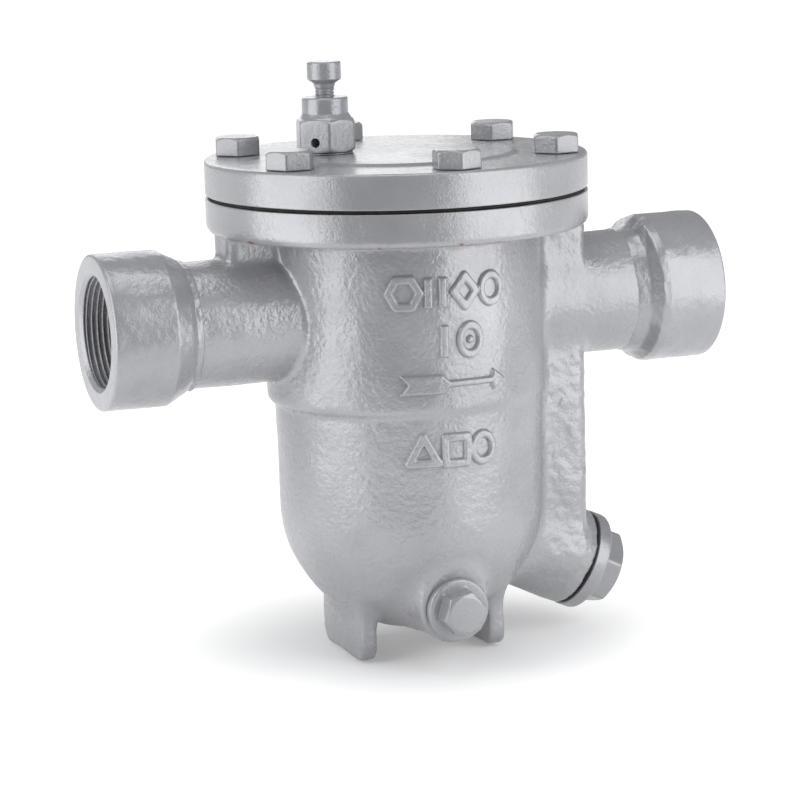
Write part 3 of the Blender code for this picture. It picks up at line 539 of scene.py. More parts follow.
def casting_field(x, y, z):
    """Signed distance of the whole casting, negative inside the metal."""
    return np.maximum(outer_field(x, y, z), -cavity_field(x, y, z))


def field_gradient(field, points, step=0.0001):
    """Slope of a field at points, from differences across each axis."""
    slopes = []
    for axis in range(3):
        offset = np.zeros(3)
        offset[axis] = step
        ahead = field(*(points + offset).T)
        behind = field(*(points - offset).T)
        slopes.append((ahead - behind) / (2 * step))
    return np.stack(slopes, axis=1)


def surface_net(field, low, high, step):
    """Quad mesh of a field's zero surface. Each cell of the grid that the surface crosses gets one
    point, the mean of the crossings on its edges, and each grid edge that it crosses gets one quad
    between the four cells round it."""
    axes = [np.arange(a, b + step, step) for a, b in zip(low, high)]
    values = field(*np.meshgrid(*axes, indexing="ij")).astype(np.float32)
    inside = values < 0
    shape = np.array(values.shape) - 1
    corners = [(i, j, k) for i in (0, 1) for j in (0, 1) for k in (0, 1)]
    total = sum(inside[i:i + shape[0], j:j + shape[1], k:k + shape[2]].astype(np.int8)
                for i, j, k in corners)
    cells = np.argwhere((total > 0) & (total < 8))
    sums = np.zeros((len(cells), 3))
    counts = np.zeros(len(cells))
    for start in corners:
        for axis in range(3):
            if start[axis]:
                continue
            end = list(start)
            end[axis] = 1
            near = values[tuple((cells + start).T)]
            far = values[tuple((cells + end).T)]
            crossed = (near < 0) != (far < 0)
            share = np.where(crossed, near / np.where(near == far, 1, near - far), 0)
            point = (cells + np.array(start)).astype(float)
            point[:, axis] += share
            sums += np.where(crossed[:, None], point, 0)
            counts += crossed
    points = sums / counts[:, None] * step + np.array([axis[0] for axis in axes])
    index = np.full(shape, -1, np.int32)
    index[tuple(cells.T)] = np.arange(len(cells))
    quads = []
    for axis in range(3):
        first, second = (axis + 1) % 3, (axis + 2) % 3
        low_side = [slice(None)] * 3
        high_side = [slice(None)] * 3
        low_side[axis] = slice(0, -1)
        high_side[axis] = slice(1, None)
        enters = inside[tuple(low_side)] != inside[tuple(high_side)]
        edges = np.argwhere(enters)
        keep = (edges[:, first] > 0) & (edges[:, second] > 0)
        keep &= (edges[:, first] < shape[first]) & (edges[:, second] < shape[second])
        edges = edges[keep]
        ring = []
        for a, b in ((1, 1), (0, 1), (0, 0), (1, 0)):
            cell = edges.copy()
            cell[:, first] -= a
            cell[:, second] -= b
            ring.append(index[tuple(cell.T)])
        quad = np.stack(ring, axis=1)
        backwards = ~inside[tuple(edges.T)]
        quad[backwards] = quad[backwards][:, ::-1]
        quads.append(quad)
    return points, np.concatenate(quads)


def settle(points, quads, field, rounds):
    """Points evened out along the surface by the mean of their neighbours, then moved back onto it
    along the field's slope."""
    for _ in range(rounds):
        sums = np.zeros_like(points)
        counts = np.zeros(len(points))
        for a, b in ((0, 1), (1, 2), (2, 3), (3, 0)):
            for start, end in ((a, b), (b, a)):
                for axis in range(3):
                    sums[:, axis] += np.bincount(quads[:, start], points[quads[:, end], axis], len(points))
                counts += np.bincount(quads[:, start], minlength=len(points))
        points = points * 0.5 + sums / counts[:, None] * 0.5
        for _ in range(2):
            slope = field_gradient(field, points)
            size = np.maximum((slope ** 2).sum(1), 0.25)
            move = (field(*points.T) / size)[:, None] * slope
            points = points - np.clip(move, -0.0006, 0.0006)
    return points


def cast_relief(points):
    """Height of the cast grain at points: a slow waviness and a lumpy skin everywhere, and coarse
    scabs on the sides of the riser, where the mould was roughest."""
    slow = wave_noise(points, 0.022, 1)
    lumps = wave_noise(points, 0.0070, 2)
    fine = wave_noise(points, 0.0034, 3)
    patches = np.clip(wave_noise(points, 0.030, 4) * 0.5 + 0.5, 0, 1)
    relief = 0.00010 * slow + 0.00004 * lumps * patches + 0.00002 * fine
    x, y, z = points.T
    rough = np.clip((x - 0.052) / 0.004, 0, 1) * np.clip((0.182 - z) / 0.004, 0, 1)
    rough *= np.clip((np.abs(y) - 0.016) / 0.004, 0, 1) * np.clip((np.abs(z - PIPE_Z) - 0.020) / 0.004, 0, 1)
    scabs = wave_noise(points, 0.0055, 5) + 0.6 * wave_noise(points, 0.0026, 6)
    return relief + rough * 0.00016 * scabs


# ------------------------------------------------------------------ materials

class Nodes:
    """Short way to add and join the nodes of one material."""

    def __init__(self, name):
        self.material = bpy.data.materials.new("finish_" + name)
        self.material.use_nodes = True
        self.tree = self.material.node_tree
        self.shader = self.tree.nodes["Principled BSDF"]
        self.place = self.add("ShaderNodeTexCoord").outputs["Object"]

    def add(self, kind, settings=None, **values):
        """New node with its settings and the values of its inputs."""
        node = self.tree.nodes.new(kind)
        for key, value in (settings or {}).items():
            setattr(node, key, value)
        for key, value in values.items():
            node.inputs[key.replace("_", " ")].default_value = value
        return node

    def join(self, output, node, socket):
        """Link from an output to a node's input."""
        self.tree.links.new(output, node.inputs[socket])

    def noise(self, scale, detail=3.0, rough=0.5, stretch=None):
        """Noise on the object's own place, at a scale in cells per metre."""
        node = self.add("ShaderNodeTexNoise", Scale=scale, Detail=detail, Roughness=rough)
        source = self.place
        if stretch is not None:
            mapping = self.add("ShaderNodeMapping", Scale=stretch)
            self.join(source, mapping, "Vector")
            source = mapping.outputs["Vector"]
        self.join(source, node, "Vector")
        return node.outputs["Fac"]

    def ramp(self, source, stops):
        """Colour ramp from (position, grey or colour) stops."""
        node = self.add("ShaderNodeValToRGB")
        ramp = node.color_ramp
        while len(ramp.elements) < len(stops):
            ramp.elements.new(0.5)
        for element, (position, colour) in zip(ramp.elements, stops):
            element.position = position
            element.color = (colour, colour, colour, 1) if isinstance(colour, float) else (*colour, 1)
        self.join(source, node, "Fac")
        return node.outputs["Color"]

    def mix(self, share, first, second):
        """Colour between two outputs or colours by a share."""
        node = self.add("ShaderNodeMix", {"data_type": "RGBA"})
        for socket, value in ((0, share), (6, first), (7, second)):
            if isinstance(value, bpy.types.NodeSocket):
                self.tree.links.new(value, node.inputs[socket])
            else:
                node.inputs[socket].default_value = value if socket == 0 else (*value, 1)
        return node.outputs[2]

    def bump(self, height, distance, strength, before=None):
        """Normal bent by a height, on top of the normal before it."""
        node = self.add("ShaderNodeBump", Distance=distance, Strength=strength)
        self.join(height, node, "Height")
        if before is not None:
            self.join(before, node, "Normal")
        return node.outputs["Normal"]

    def product(self, first, second):
        """Product of an output and either another output or a number."""
        node = self.add("ShaderNodeMath", {"operation": "MULTIPLY"})
        self.join(first, node, 0)
        if isinstance(second, float):
            node.inputs[1].default_value = second
        else:
            self.join(second, node, 1)
        return node.outputs[0]

    def spread(self, value, low, high, start=0.0, end=1.0, kind="SMOOTHSTEP"):
        """Value between low and high carried to between start and end, and held beyond them."""
        node = self.add("ShaderNodeMapRange", {"interpolation_type": kind})
        self.join(value, node, "Value")
        for socket, number in (("From Min", low), ("From Max", high), ("To Min", start), ("To Max", end)):
            node.inputs[socket].default_value = number
        return node.outputs["Result"]


def silver_paint(name, colour, roughness, grain, scratches=0.0, dust=0.5, rust=False):
    """Silver-grey satin paint. The colour drifts slowly and is a little darker in thin spots, the
    gloss varies in patches, and the surface has orange peel, fine grit and, where the metal below
    was turned, short scratches."""
    nodes = Nodes(name)
    shader = nodes.shader
    drift = nodes.noise(22, 4)
    light = tuple(min(1.0, value * 1.10) for value in colour)
    dark = tuple(value * 0.88 for value in colour)
    base = nodes.ramp(drift, [(0.30, dark), (0.50, tuple(colour)), (0.72, light)])
    specks = nodes.ramp(nodes.noise(420, 2), [(0.66, 0.0), (0.74, 1.0)])
    base = nodes.mix(nodes.product(specks, 0.35 * dust), base, tuple(value * 0.60 for value in colour))
    if rust:
        base = nodes.mix(rust_share(nodes), base, (0.16, 0.075, 0.05))
    nodes.join(base, shader, "Base Color")
    patches = nodes.ramp(nodes.noise(60, 3), [(0.25, roughness - 0.07), (0.80, roughness + 0.10)])
    nodes.join(patches, shader, "Roughness")
    shader.inputs["Metallic"].default_value = 0.35
    shader.inputs["Specular IOR Level"].default_value = 0.5
    normal = nodes.bump(nodes.noise(120, 2, 0.45), 0.0010, 0.30 * grain)
    normal = nodes.bump(nodes.noise(460, 2, 0.5), 0.0005, 0.70 * grain, normal)
    normal = nodes.bump(nodes.noise(1100, 2, 0.5), 0.0002, 0.50, normal)
    if scratches:
        lines = nodes.noise(70, 3, 0.6, (5.0, 1.0, 2.2))
        lines = nodes.ramp(lines, [(0.47, 0.0), (0.50, 1.0), (0.53, 0.0)])
        normal = nodes.bump(lines, 0.0002, 0.20 * scratches, normal)
    nodes.join(normal, shader, "Normal")
    return nodes.material


def rust_share(nodes):
    """Share of rust: a few small specks in a thin band at the flange's lower edge."""
    split = nodes.add("ShaderNodeSeparateXYZ")
    nodes.join(nodes.place, split, "Vector")
    height = split.outputs["Z"]
    band = nodes.spread(height, FLANGE_BOTTOM + 0.0022, FLANGE_BOTTOM + 0.0006, kind="LINEAR")
    above = nodes.add("ShaderNodeMath", {"operation": "GREATER_THAN"})
    nodes.join(height, above, 0)
    above.inputs[1].default_value = FLANGE_BOTTOM - 0.0015
    spots = nodes.ramp(nodes.noise(95, 5, 0.7), [(0.60, 0.0), (0.66, 1.0)])
    return nodes.product(nodes.product(band, spots), above.outputs[0])


def plain_metal(name, colour, roughness, lines):
    """Bare turned metal with faint tool lines and patchy gloss."""
    nodes = Nodes(name)
    drift = nodes.noise(40, 3)
    base = nodes.ramp(drift, [(0.3, tuple(value * 0.85 for value in colour)), (0.7, tuple(colour))])
    nodes.join(base, nodes.shader, "Base Color")
    nodes.shader.inputs["Metallic"].default_value = 1.0
    patches = nodes.ramp(nodes.noise(70, 3), [(0.3, roughness - 0.05), (0.7, roughness + 0.10)])
    nodes.join(patches, nodes.shader, "Roughness")
    normal = nodes.bump(nodes.noise(300, 3, 0.6, (1.0, 1.0, lines)), 0.0002, 0.35)
    nodes.join(normal, nodes.shader, "Normal")
    return nodes.material


def graphite_sheet(name):
    """Matt black gasket sheet with a faint fibrous grain."""
    nodes = Nodes(name)
    base = nodes.ramp(nodes.noise(600, 3), [(0.3, 0.008), (0.7, 0.022)])
    nodes.join(base, nodes.shader, "Base Color")
    roughness = nodes.ramp(nodes.noise(250, 2), [(0.3, 0.72), (0.7, 0.90)])
    nodes.join(roughness, nodes.shader, "Roughness")
    nodes.join(nodes.bump(nodes.noise(900, 3), 0.0002, 0.4), nodes.shader, "Normal")
    return nodes.material


def material(key):
    """The finish with this name, made once from the panel's colours."""
    made = bpy.data.materials.get("finish_" + key)
    if made is not None:
        return made
    paint = bpy.context.scene.trap_paint
    colour = tuple(paint.colour)
    shade = tuple(value * paint.fitting_shade for value in colour)
    rough = paint.roughness
    makers = {
        "cast_paint": lambda: silver_paint(key, colour, rough, paint.grain),
        "turned_paint": lambda: silver_paint(key, colour, rough - 0.05, 0.22, 1.0, 0.3, rust=True),
        "collar_paint": lambda: silver_paint(key, colour, rough - 0.01, 0.28, 0.6, 0.4),
        "cover_paint": lambda: silver_paint(key, colour, rough - 0.04, 0.20, 0.8, 0.4),
        "fitting_paint": lambda: silver_paint(key, shade, rough - 0.02, 0.30, 0.5),
        "bright_steel": lambda: plain_metal(key, (0.58, 0.58, 0.57), 0.28, 6.0),
        "copper_metal": lambda: plain_metal(key, (0.56, 0.30, 0.19), 0.40, 4.0),
        "graphite_sheet": lambda: graphite_sheet(key),
    }
    return makers[key]()


# --------------------------------------------------------------------- sizes

class TrapCasting(PropertyGroup):
    """How finely the casting is meshed, and how high its grain and marks stand"""
    cell: FloatProperty(name="Cell", description="Size of the cells that find the casting's surface",
                        default=0.00155, min=0.0010, max=0.003, subtype="DISTANCE", unit="LENGTH")
    settle_rounds: IntProperty(name="Even out", description="Rounds that even out the casting's mesh",
                               default=3, min=1, max=8)
    relief: FloatProperty(name="Relief", description="Strength of the cast grain in the mesh",
                          default=1.0, min=0.0, max=3.0)
    mark_height: FloatProperty(name="Mark height", description="How far the raised marks stand out",
                               default=0.0016, subtype="DISTANCE", unit="LENGTH")


class TrapPaint(PropertyGroup):
    """Colour and gloss of the paint"""
    colour: FloatVectorProperty(name="Paint", description="Colour of the silver-grey paint", subtype="COLOR",
                                size=3, default=(0.328, 0.330, 0.348), min=0.0, max=1.0)
    fitting_shade: FloatProperty(name="Fitting shade", description="How much darker bolts and plugs are",
                                 default=0.95, min=0.2, max=1.2, subtype="FACTOR")
    roughness: FloatProperty(name="Roughness", description="Roughness of the paint", default=0.27,
                             min=0.1, max=0.9, subtype="FACTOR")
    grain: FloatProperty(name="Grain", description="Strength of the cast surface's orange peel",
                         default=0.85, min=0.0, max=2.0)


class TrapStage(PropertyGroup):
    """Camera and lights"""
    azimuth: FloatProperty(name="Azimuth", description="Camera's direction round the trap",
                           default=math.radians(-21.35), subtype="ANGLE", unit="ROTATION")
    elevation: FloatProperty(name="Elevation", description="Camera's height angle",
                             default=math.radians(10.92), subtype="ANGLE", unit="ROTATION")
    roll: FloatProperty(name="Roll", description="Camera's turn about its own line of sight",
                        default=math.radians(-1.41), subtype="ANGLE", unit="ROTATION")
    distance: FloatProperty(name="Distance", description="Camera's distance from its target",
                            default=1.2232, subtype="DISTANCE", unit="LENGTH")
    lens: FloatProperty(name="Lens", description="Focal length in millimetres", default=129.84,
                        subtype="NONE")
    light: FloatProperty(name="Light", description="Strength of the soft boxes", default=1.0,
                         min=0.0, max=5.0)


# ----------------------------------------------------------------- operators

class TRAP_OT_casting(Operator):
    """Build the cast body's skin and its hollow from the blended field"""
    bl_idname = "trap.casting"
    bl_label = "Casting"

    def execute(self, context):
        sizes = context.scene.trap_casting
        margin = 0.003
        reach = FLANGE_R + 0.002
        low = (-SKIN_END - margin, -reach, -margin)
        high = (SKIN_END + margin, reach, FLANGE_TOP)
        points, quads = surface_net(casting_field, low, high, sizes.cell)
        points = settle(points, quads, casting_field, sizes.settle_rounds)
        slope = field_gradient(casting_field, points)
        normal = slope / np.maximum(np.linalg.norm(slope, axis=1), 0.1)[:, None]
        hidden = cavity_field(*points.T) < 0.0006
        relief = np.where(hidden, 0.0, cast_relief(points)) * sizes.relief
        points = points + normal * relief[:, None]
        points[:, 2] = np.maximum(points[:, 2], 0.0)
        skin = make_piece("casting_skin", points, [quads], "trap", material("cast_paint"),
                          ("trap_body",))
        if len(skin.data.polygons) == 0:
            raise RuntimeError("the casting's field has no surface")
        return {"FINISHED"}


def thread_wave(heights, pitch, around):
    """Right-handed helix over heights and angles: 1 where the height over the pitch less the angle's
    share of a turn is whole, falling evenly to 0 halfway to the next."""
    phase = (heights[:, None] / pitch - np.arange(around) / around) % 1.0
    return np.abs(2 * phase - 1)


def set_radius(rows, first, radius):
    """Gives the rows from the first one a radius at each height and angle."""
    angles = np.arange(radius.shape[1]) / radius.shape[1] * math.tau
    span = slice(first, first + len(radius))
    rows[span, :, 0] = radius * np.cos(angles)
    rows[span, :, 1] = radius * np.sin(angles)


def socket_rows(side, around=192):
    """rows[s, t] of one collar: coned shoulder, round outside, rim, chamfer, threaded bore and the
    step down to the passage. In the bore the radius is the crests' radius plus the depth times a
    clipped triangle wave along a right-handed helix, which fades out at the bore's inner end."""
    collar_r = SHOULDERS[side][-1][0]
    outside = SHOULDERS[side] + [(collar_r, FACE_X, 0.0012), (SOCKET_BORE_R + 0.0020, FACE_X, 0.0004),
                                 (SOCKET_BORE_R + 0.0001, FACE_X - 0.0018, 0.0)]
    outside = rounded_profile(outside, 0.0009)
    depths = np.arange(FACE_X - 0.0020, SOCKET_BORE_END, -0.00021)
    bore = np.stack([np.full(len(depths), SOCKET_BORE_R), depths], axis=1)
    inside = [(PASSAGE_R, SOCKET_BORE_END, 0.0), (PASSAGE_R, SKIN_END - 0.001, 0.0),
              (0.0240, SHOULDERS[side][0][1], 0.0)]
    inside = rounded_profile(inside, 0.0018)
    rows = turned_rows(np.concatenate([outside, bore, inside]), around)
    ridge = np.clip(1.25 * (1 - thread_wave(depths, THREAD_PITCH, around)) - 0.12, 0, 1)
    fade = np.clip((depths - SOCKET_BORE_END) / 0.004, 0, 1)[:, None]
    set_radius(rows, len(outside), SOCKET_BORE_R + THREAD_DEPTH * ridge * fade)
    return rows[::-1]


def socket_dents(points, side):
    """Height of a collar's unevenness: slow dents all over, and a rougher ring at the bead where the
    collar meets the neck."""
    dents = 0.00007 * wave_noise(points, 0.012, 20 + side) + 0.00003 * wave_noise(points, 0.004, 23 + side)
    reach = np.abs(points[:, 0])
    if side < 0:
        bead = np.exp(-((reach - 0.0985) / 0.0014) ** 2)
        rough = 0.00014 * wave_noise(points, 0.0065, 31) + 0.00010 * wave_noise(points, 0.0022, 32)
    else:
        bead = np.exp(-((reach - 0.1040) / 0.0035) ** 2)
        rough = 0.00017 * wave_noise(points, 0.0130, 33) + 0.00006 * wave_noise(points, 0.0040, 34)
    return dents + bead * rough


class TRAP_OT_sockets(Operator):
    """Build the two threaded collars"""
    bl_idname = "trap.sockets"
    bl_label = "Sockets"

    def execute(self, context):
        collars = ((-1, "inlet_collar", "inlet_socket"), (1, "outlet_collar", "outlet_socket"))
        for side, name, node in collars:
            rows = placed(socket_rows(side), (0, 0, PIPE_Z), PIPE_BASIS[side])
            points, faces = carried_round(rows, True)
            outward = (points - (0, 0, PIPE_Z)) * (0, 1, 1)
            radius = np.hypot(outward[:, 1], outward[:, 2])
            skin = np.clip((radius - NECK_BEAD_R - 0.0002) / 0.001, 0, 1)
            skin *= np.clip((FACE_X - 0.0015 - np.abs(points[:, 0])) / 0.002, 0, 1)
            height = skin * socket_dents(points, side)
            points = points + outward * (height / np.maximum(radius, 0.001))[:, None]
            make_piece(name, points, faces, "trap", material("collar_paint"), (node,))
        return {"FINISHED"}


class TRAP_OT_flanges(Operator):
    """Build the body's flange, the cover and the gasket between them"""
    bl_idname = "trap.flanges"
    bl_label = "Flanges and cover"

    def execute(self, context):
        self.body_flange()
        origin = (FLANGE_X, 0, 0)
        inner_disc_r, outer_disc_r = COVER_DISC_R
        cover = [(0.0, DISC_TOP, 0.0), (inner_disc_r, DISC_TOP, 0.0012), (outer_disc_r, COVER_TOP, 0.0012),
                 (COVER_R, COVER_TOP, 0.0016), (COVER_R, COVER_BOTTOM, 0.0005),
                 (SPIGOT_R, COVER_BOTTOM, 0.0003), (SPIGOT_R, COVER_LOW.z, 0.0008), (0.0, COVER_LOW.z, 0.0)]
        turned_piece("cover_plate", cover, "trap", material("cover_paint"), origin,
                     around=288, spacing=0.0016, replaced=("cover",))
        gasket = [(GASKET_R, GASKET_HIGH.z, 0.0), (GASKET_R, GASKET_LOW.z, 0.0),
                  (GASKET_BORE_R, GASKET_LOW.z, 0.0), (GASKET_BORE_R, GASKET_HIGH.z, 0.0)]
        turned_piece("flange_gasket", gasket, "trap", material("graphite_sheet"), origin,
                     around=192, spacing=0.004, closed=True, replaced=("cover_gasket",))
        return {"FINISHED"}

    def body_flange(self):
        """Turned flange whose cast lower edge wavers inwards by a seeded ripple."""
        centre = (FLANGE_X, 0, 0)
        corners = [(FLANGE_R, FLANGE_TOP, 0.0004), (FLANGE_R, FLANGE_BOTTOM, 0.0030),
                   (0.0560, FLANGE_BOTTOM, 0.0), (RECESS_R, FLANGE_BOTTOM + 0.004, 0.0),
                   (RECESS_R, FLANGE_TOP, 0.0)]
        rows = turned_rows(rounded_profile(corners, 0.0012, True), 288)
        points, faces = carried_round(placed(rows, centre), True)
        edge = np.exp(-((points[:, 2] - FLANGE_BOTTOM) / 0.0025) ** 2)
        inward = -(points - centre) * (1, 1, 0) / FLANGE_R
        ripple = np.clip(wave_noise(points, 0.012, 11) * 0.5 + 0.5, 0, 1.5)
        points = points + inward * (0.0002 * edge * ripple)[:, None]
        make_piece("body_flange", points, faces, "trap", material("turned_paint"),
                   ("trap_body",))


class TRAP_OT_cover_bolts(Operator):
    """Build the six hexagon-head bolts"""
    bl_idname = "trap.cover_bolts"
    bl_label = "Cover bolts"

    def execute(self, context):
        for index, (degrees, turn) in enumerate(zip(BOLT_ANGLES, BOLT_HEAD_TURNS), start=1):
            low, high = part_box(f"cover_bolt_{index}")
            angle = math.radians(degrees)
            place = (FLANGE_X + BOLT_CIRCLE_R * math.cos(angle), BOLT_CIRCLE_R * math.sin(angle), 0)
            seat = COVER_TOP + GAP
            head = hexagon_rows(BOLT_FLATS, high.z, seat)
            shank = rounded_profile([(BOLT_R, seat, 0.0), (BOLT_R, low.z, 0.0012), (0.0, low.z, 0.0)])
            rows = np.concatenate([head, turned_rows(shank, head.shape[1])])
            basis = Matrix.Rotation(math.radians(turn), 3, "Z")
            points, faces = carried_round(placed(rows, place, basis), False)
            make_piece(f"bolt_{index}", points, faces, "trap", material("fitting_paint"),
                       (f"cover_bolt_{index}",))
        return {"FINISHED"}


class TRAP_OT_vent_valve(Operator):
    """Build the hand vent's body, with its side outlet, and its screw"""
    bl_idname = "trap.vent_valve"
    bl_label = "Hand vent"

    def execute(self, context):
        basis = Matrix.Rotation(VENT_HEX_TURN, 3, "Z")
        points, faces = carried_round(placed(vent_body_rows(), (VENT_X, VENT_Y, 0), basis), False)
        valve = make_piece("vent_body", points, faces, "trap", material("fitting_paint"),
                           ("vent_valve_body",))
        drill_outlet(valve)
        points, faces = carried_round(placed(vent_screw_rows(), (VENT_X, VENT_Y, 0)), False)
        make_piece("vent_stem", points, faces, "vent_screw", material("fitting_paint"),
                   ("vent_screw",))
        return {"FINISHED"}


def vent_body_rows():
    """rows[s, t] of the vent's body: bore, rim, collar above the hexagon, hexagon and shank."""
    top, bottom = VENT_HIGH.z, VENT_LOW.z
    head = hexagon_rows(VENT_FLATS, VENT_HEX_TOP, VENT_HEX_BOTTOM, 0.97, 144, True)
    around = head.shape[1]
    bore = rounded_profile([(0.0, VENT_CAVITY_BOTTOM, 0.0), (VENT_TAP_R, VENT_CAVITY_BOTTOM, 0.0),
                            (VENT_CAVITY_R, VENT_CAVITY_BOTTOM + 0.0014, 0.0),
                            (VENT_CAVITY_R, top - 0.0004, 0.0)])
    above = rounded_profile([(VENT_TAP_R, top - 0.0010, 0.0), (VENT_CAVITY_R, top, 0.0),
                             (VENT_COLLAR_R, top, 0.0010), (VENT_COLLAR_R, VENT_HEX_TOP + 0.0022, 0.0006),
                             (0.0110, VENT_HEX_TOP, 0.0)], 0.0008)
    below = rounded_profile([(VENT_SHANK_R, VENT_HEX_BOTTOM, 0.0), (VENT_SHANK_R, bottom, 0.0008),
                             (0.0, bottom, 0.0)], 0.0015)
    # The hexagon's first nine rows are its flat crown, where the collar stands, so they are left out.
    return np.concatenate([turned_rows(bore, around), turned_rows(above[1:], around), head[9:],
                           turned_rows(below, around)])


def drill_outlet(valve):
    """Cut the 4 mm side outlet into one flat of the vent's body."""
    direction = (math.cos(VENT_OUTLET_ANGLE), math.sin(VENT_OUTLET_ANGLE), 0)
    near, far = VENT_OUTLET_REACH
    corners = [(0.0, far, 0.0), (VENT_OUTLET_R, far, 0.0), (VENT_OUTLET_R, near, 0.0), (0.0, near, 0.0)]
    rows = turned_rows(rounded_profile(corners, 0.002), 40)
    place = (VENT_X, VENT_Y, VENT_OUTLET_Z)
    points, faces = carried_round(placed(rows, place, axis_basis(direction)), False)
    mesh = bpy.data.meshes.new("outlet_drill")
    mesh.from_pydata([tuple(p) for p in points], [], [tuple(f) for group in faces for f in group])
    drill = bpy.data.objects.new("outlet_drill", mesh)
    bpy.context.scene.collection.objects.link(drill)
    cut = valve.modifiers.new("Outlet", "BOOLEAN")
    cut.object = drill
    cut.operation = "DIFFERENCE"
    graph = bpy.context.evaluated_depsgraph_get()
    result = bpy.data.meshes.new_from_object(valve.evaluated_get(graph))
    valve.modifiers.clear()
    valve.data = result
    bpy.data.objects.remove(drill)
    result.shade_smooth()
    result.set_sharp_from_angle(angle=math.radians(50))


def vent_screw_rows(around=96):
    """rows[s, t] of the vent's screw: knob, threaded stem and tip. The stem's radius is the thread's
    less the depth times a clipped triangle wave along a right-handed helix."""
    low, high = SCREW_LOW.z, SCREW_HIGH.z
    stem_top = VENT_KNOB_BOTTOM - 0.0022
    knob = rounded_profile([(0.0, high, 0.0), (VENT_KNOB_R, high, 0.0009),
                            (VENT_KNOB_R, VENT_KNOB_BOTTOM + 0.0016, 0.0007),
                            (0.0046, VENT_KNOB_BOTTOM, 0.0010), (0.0040, stem_top, 0.0)], 0.0006)
    heights = np.arange(stem_top - 0.0002, low + 0.0012, -0.00016)
    stem = np.stack([np.full(len(heights), VENT_SCREW_R), heights], axis=1)
    tip = rounded_profile([(0.0036, low + 0.0006, 0.0), (0.0030, low, 0.0), (0.0, low, 0.0)], 0.0008)
    rows = turned_rows(np.concatenate([knob, stem, tip]), around)
    groove = np.clip(1.2 * thread_wave(heights, VENT_THREAD_PITCH, around) - 0.1, 0, 1)
    set_radius(rows, len(knob), VENT_SCREW_R - VENT_THREAD_DEPTH * groove)
    return rows


def plug_piece(plug):
    """Plug with a round flange and a hexagon, as one surface from the crown to the thread's end. The
    flange's top starts at the hexagon's own outline, and points that fall inside that are moved out."""
    base = plug.boss_end + PLUG_GASKET_T
    flange_top = base + plug.flange_t
    end = base - plug.thread_length
    head = hexagon_rows(plug.flats, plug.head_end, flange_top, plug.crown)
    around = head.shape[1]
    profile = rounded_profile([(plug.flats / 2, flange_top, 0.0), (plug.flange_r, flange_top, 0.0011),
                               (plug.flange_r, base, 0.0004), (plug.thread_r, base, 0.0),
                               (plug.thread_r, end, 0.0010), (0.0, end, 0.0)])
    flange = turned_rows(profile, around)
    angles = np.arange(around) * math.tau / around
    side = hexagon_radius(angles, plug.flats)
    flange[0, :, 0] = side * np.cos(angles) * 1.01
    flange[0, :, 1] = side * np.sin(angles) * 1.01
    radius = np.hypot(flange[:, :, 0], flange[:, :, 1])
    inside = (radius < side * 1.03) & (flange[:, :, 2] > flange_top - 0.0001)
    grow = np.where(inside, side * 1.03 / np.maximum(radius, 0.001), 1.0)
    flange[:, :, :2] *= grow[:, :, None]
    rows = placed(np.concatenate([head, flange]), plug.origin, axis_basis(plug.axis, plug.turn))
    points, faces = carried_round(rows, False)
    make_piece(plug.name, points, faces, "trap", material("fitting_paint"), (plug.node,))


def seal_piece(plug):
    """Flat ring between a boss and the flange of its plug."""
    low = plug.boss_end + GAP
    high = plug.boss_end + PLUG_GASKET_T - GAP
    corners = [(plug.seal_r, high, 0.0), (plug.seal_r, low, 0.0),
               (plug.seal_bore_r, low, 0.0), (plug.seal_bore_r, high, 0.0)]
    turned_piece(plug.name + "_seal", corners, "trap", material("graphite_sheet"), plug.origin,
                 axis_basis(plug.axis), 128, 0.003, True, (plug.node + "_gasket",))


class TRAP_OT_plugs(Operator):
    """Build the orifice plug and the drain plug with their gaskets"""
    bl_idname = "trap.plugs"
    bl_label = "Plugs"

    def execute(self, context):
        for plug in PLUGS:
            plug_piece(plug)
            seal_piece(plug)
        return {"FINISHED"}


def outline_field(u, v, corners):
    """Signed distance to a closed outline of straight sides, negative inside."""
    nearest = np.full(u.shape, 1e9)
    winding = np.ones(u.shape)
    for index, (ax, ay) in enumerate(corners):
        bx, by = corners[index - 1]
        ex, ey = bx - ax, by - ay
        wx, wy = u - ax, v - ay
        share = np.clip((wx * ex + wy * ey) / (ex * ex + ey * ey), 0, 1)
        nearest = np.minimum(nearest, np.hypot(wx - ex * share, wy - ey * share))
        above = v >= ay
        below = v < by
        left = ex * wy > ey * wx
        winding = np.where((above & below & left) | (~above & ~below & ~left), -winding, winding)
    return nearest * winding


def regular_outline(centre_u, centre_v, radius_u, radius_v, sides, start=90):
    """Corners of a regular outline, evenly round an ellipse from a start angle in degrees."""
    angles = [math.radians(start + 360 * k / sides) for k in range(sides)]
    return [(centre_u + radius_u * math.cos(a), centre_v + radius_v * math.sin(a)) for a in angles]


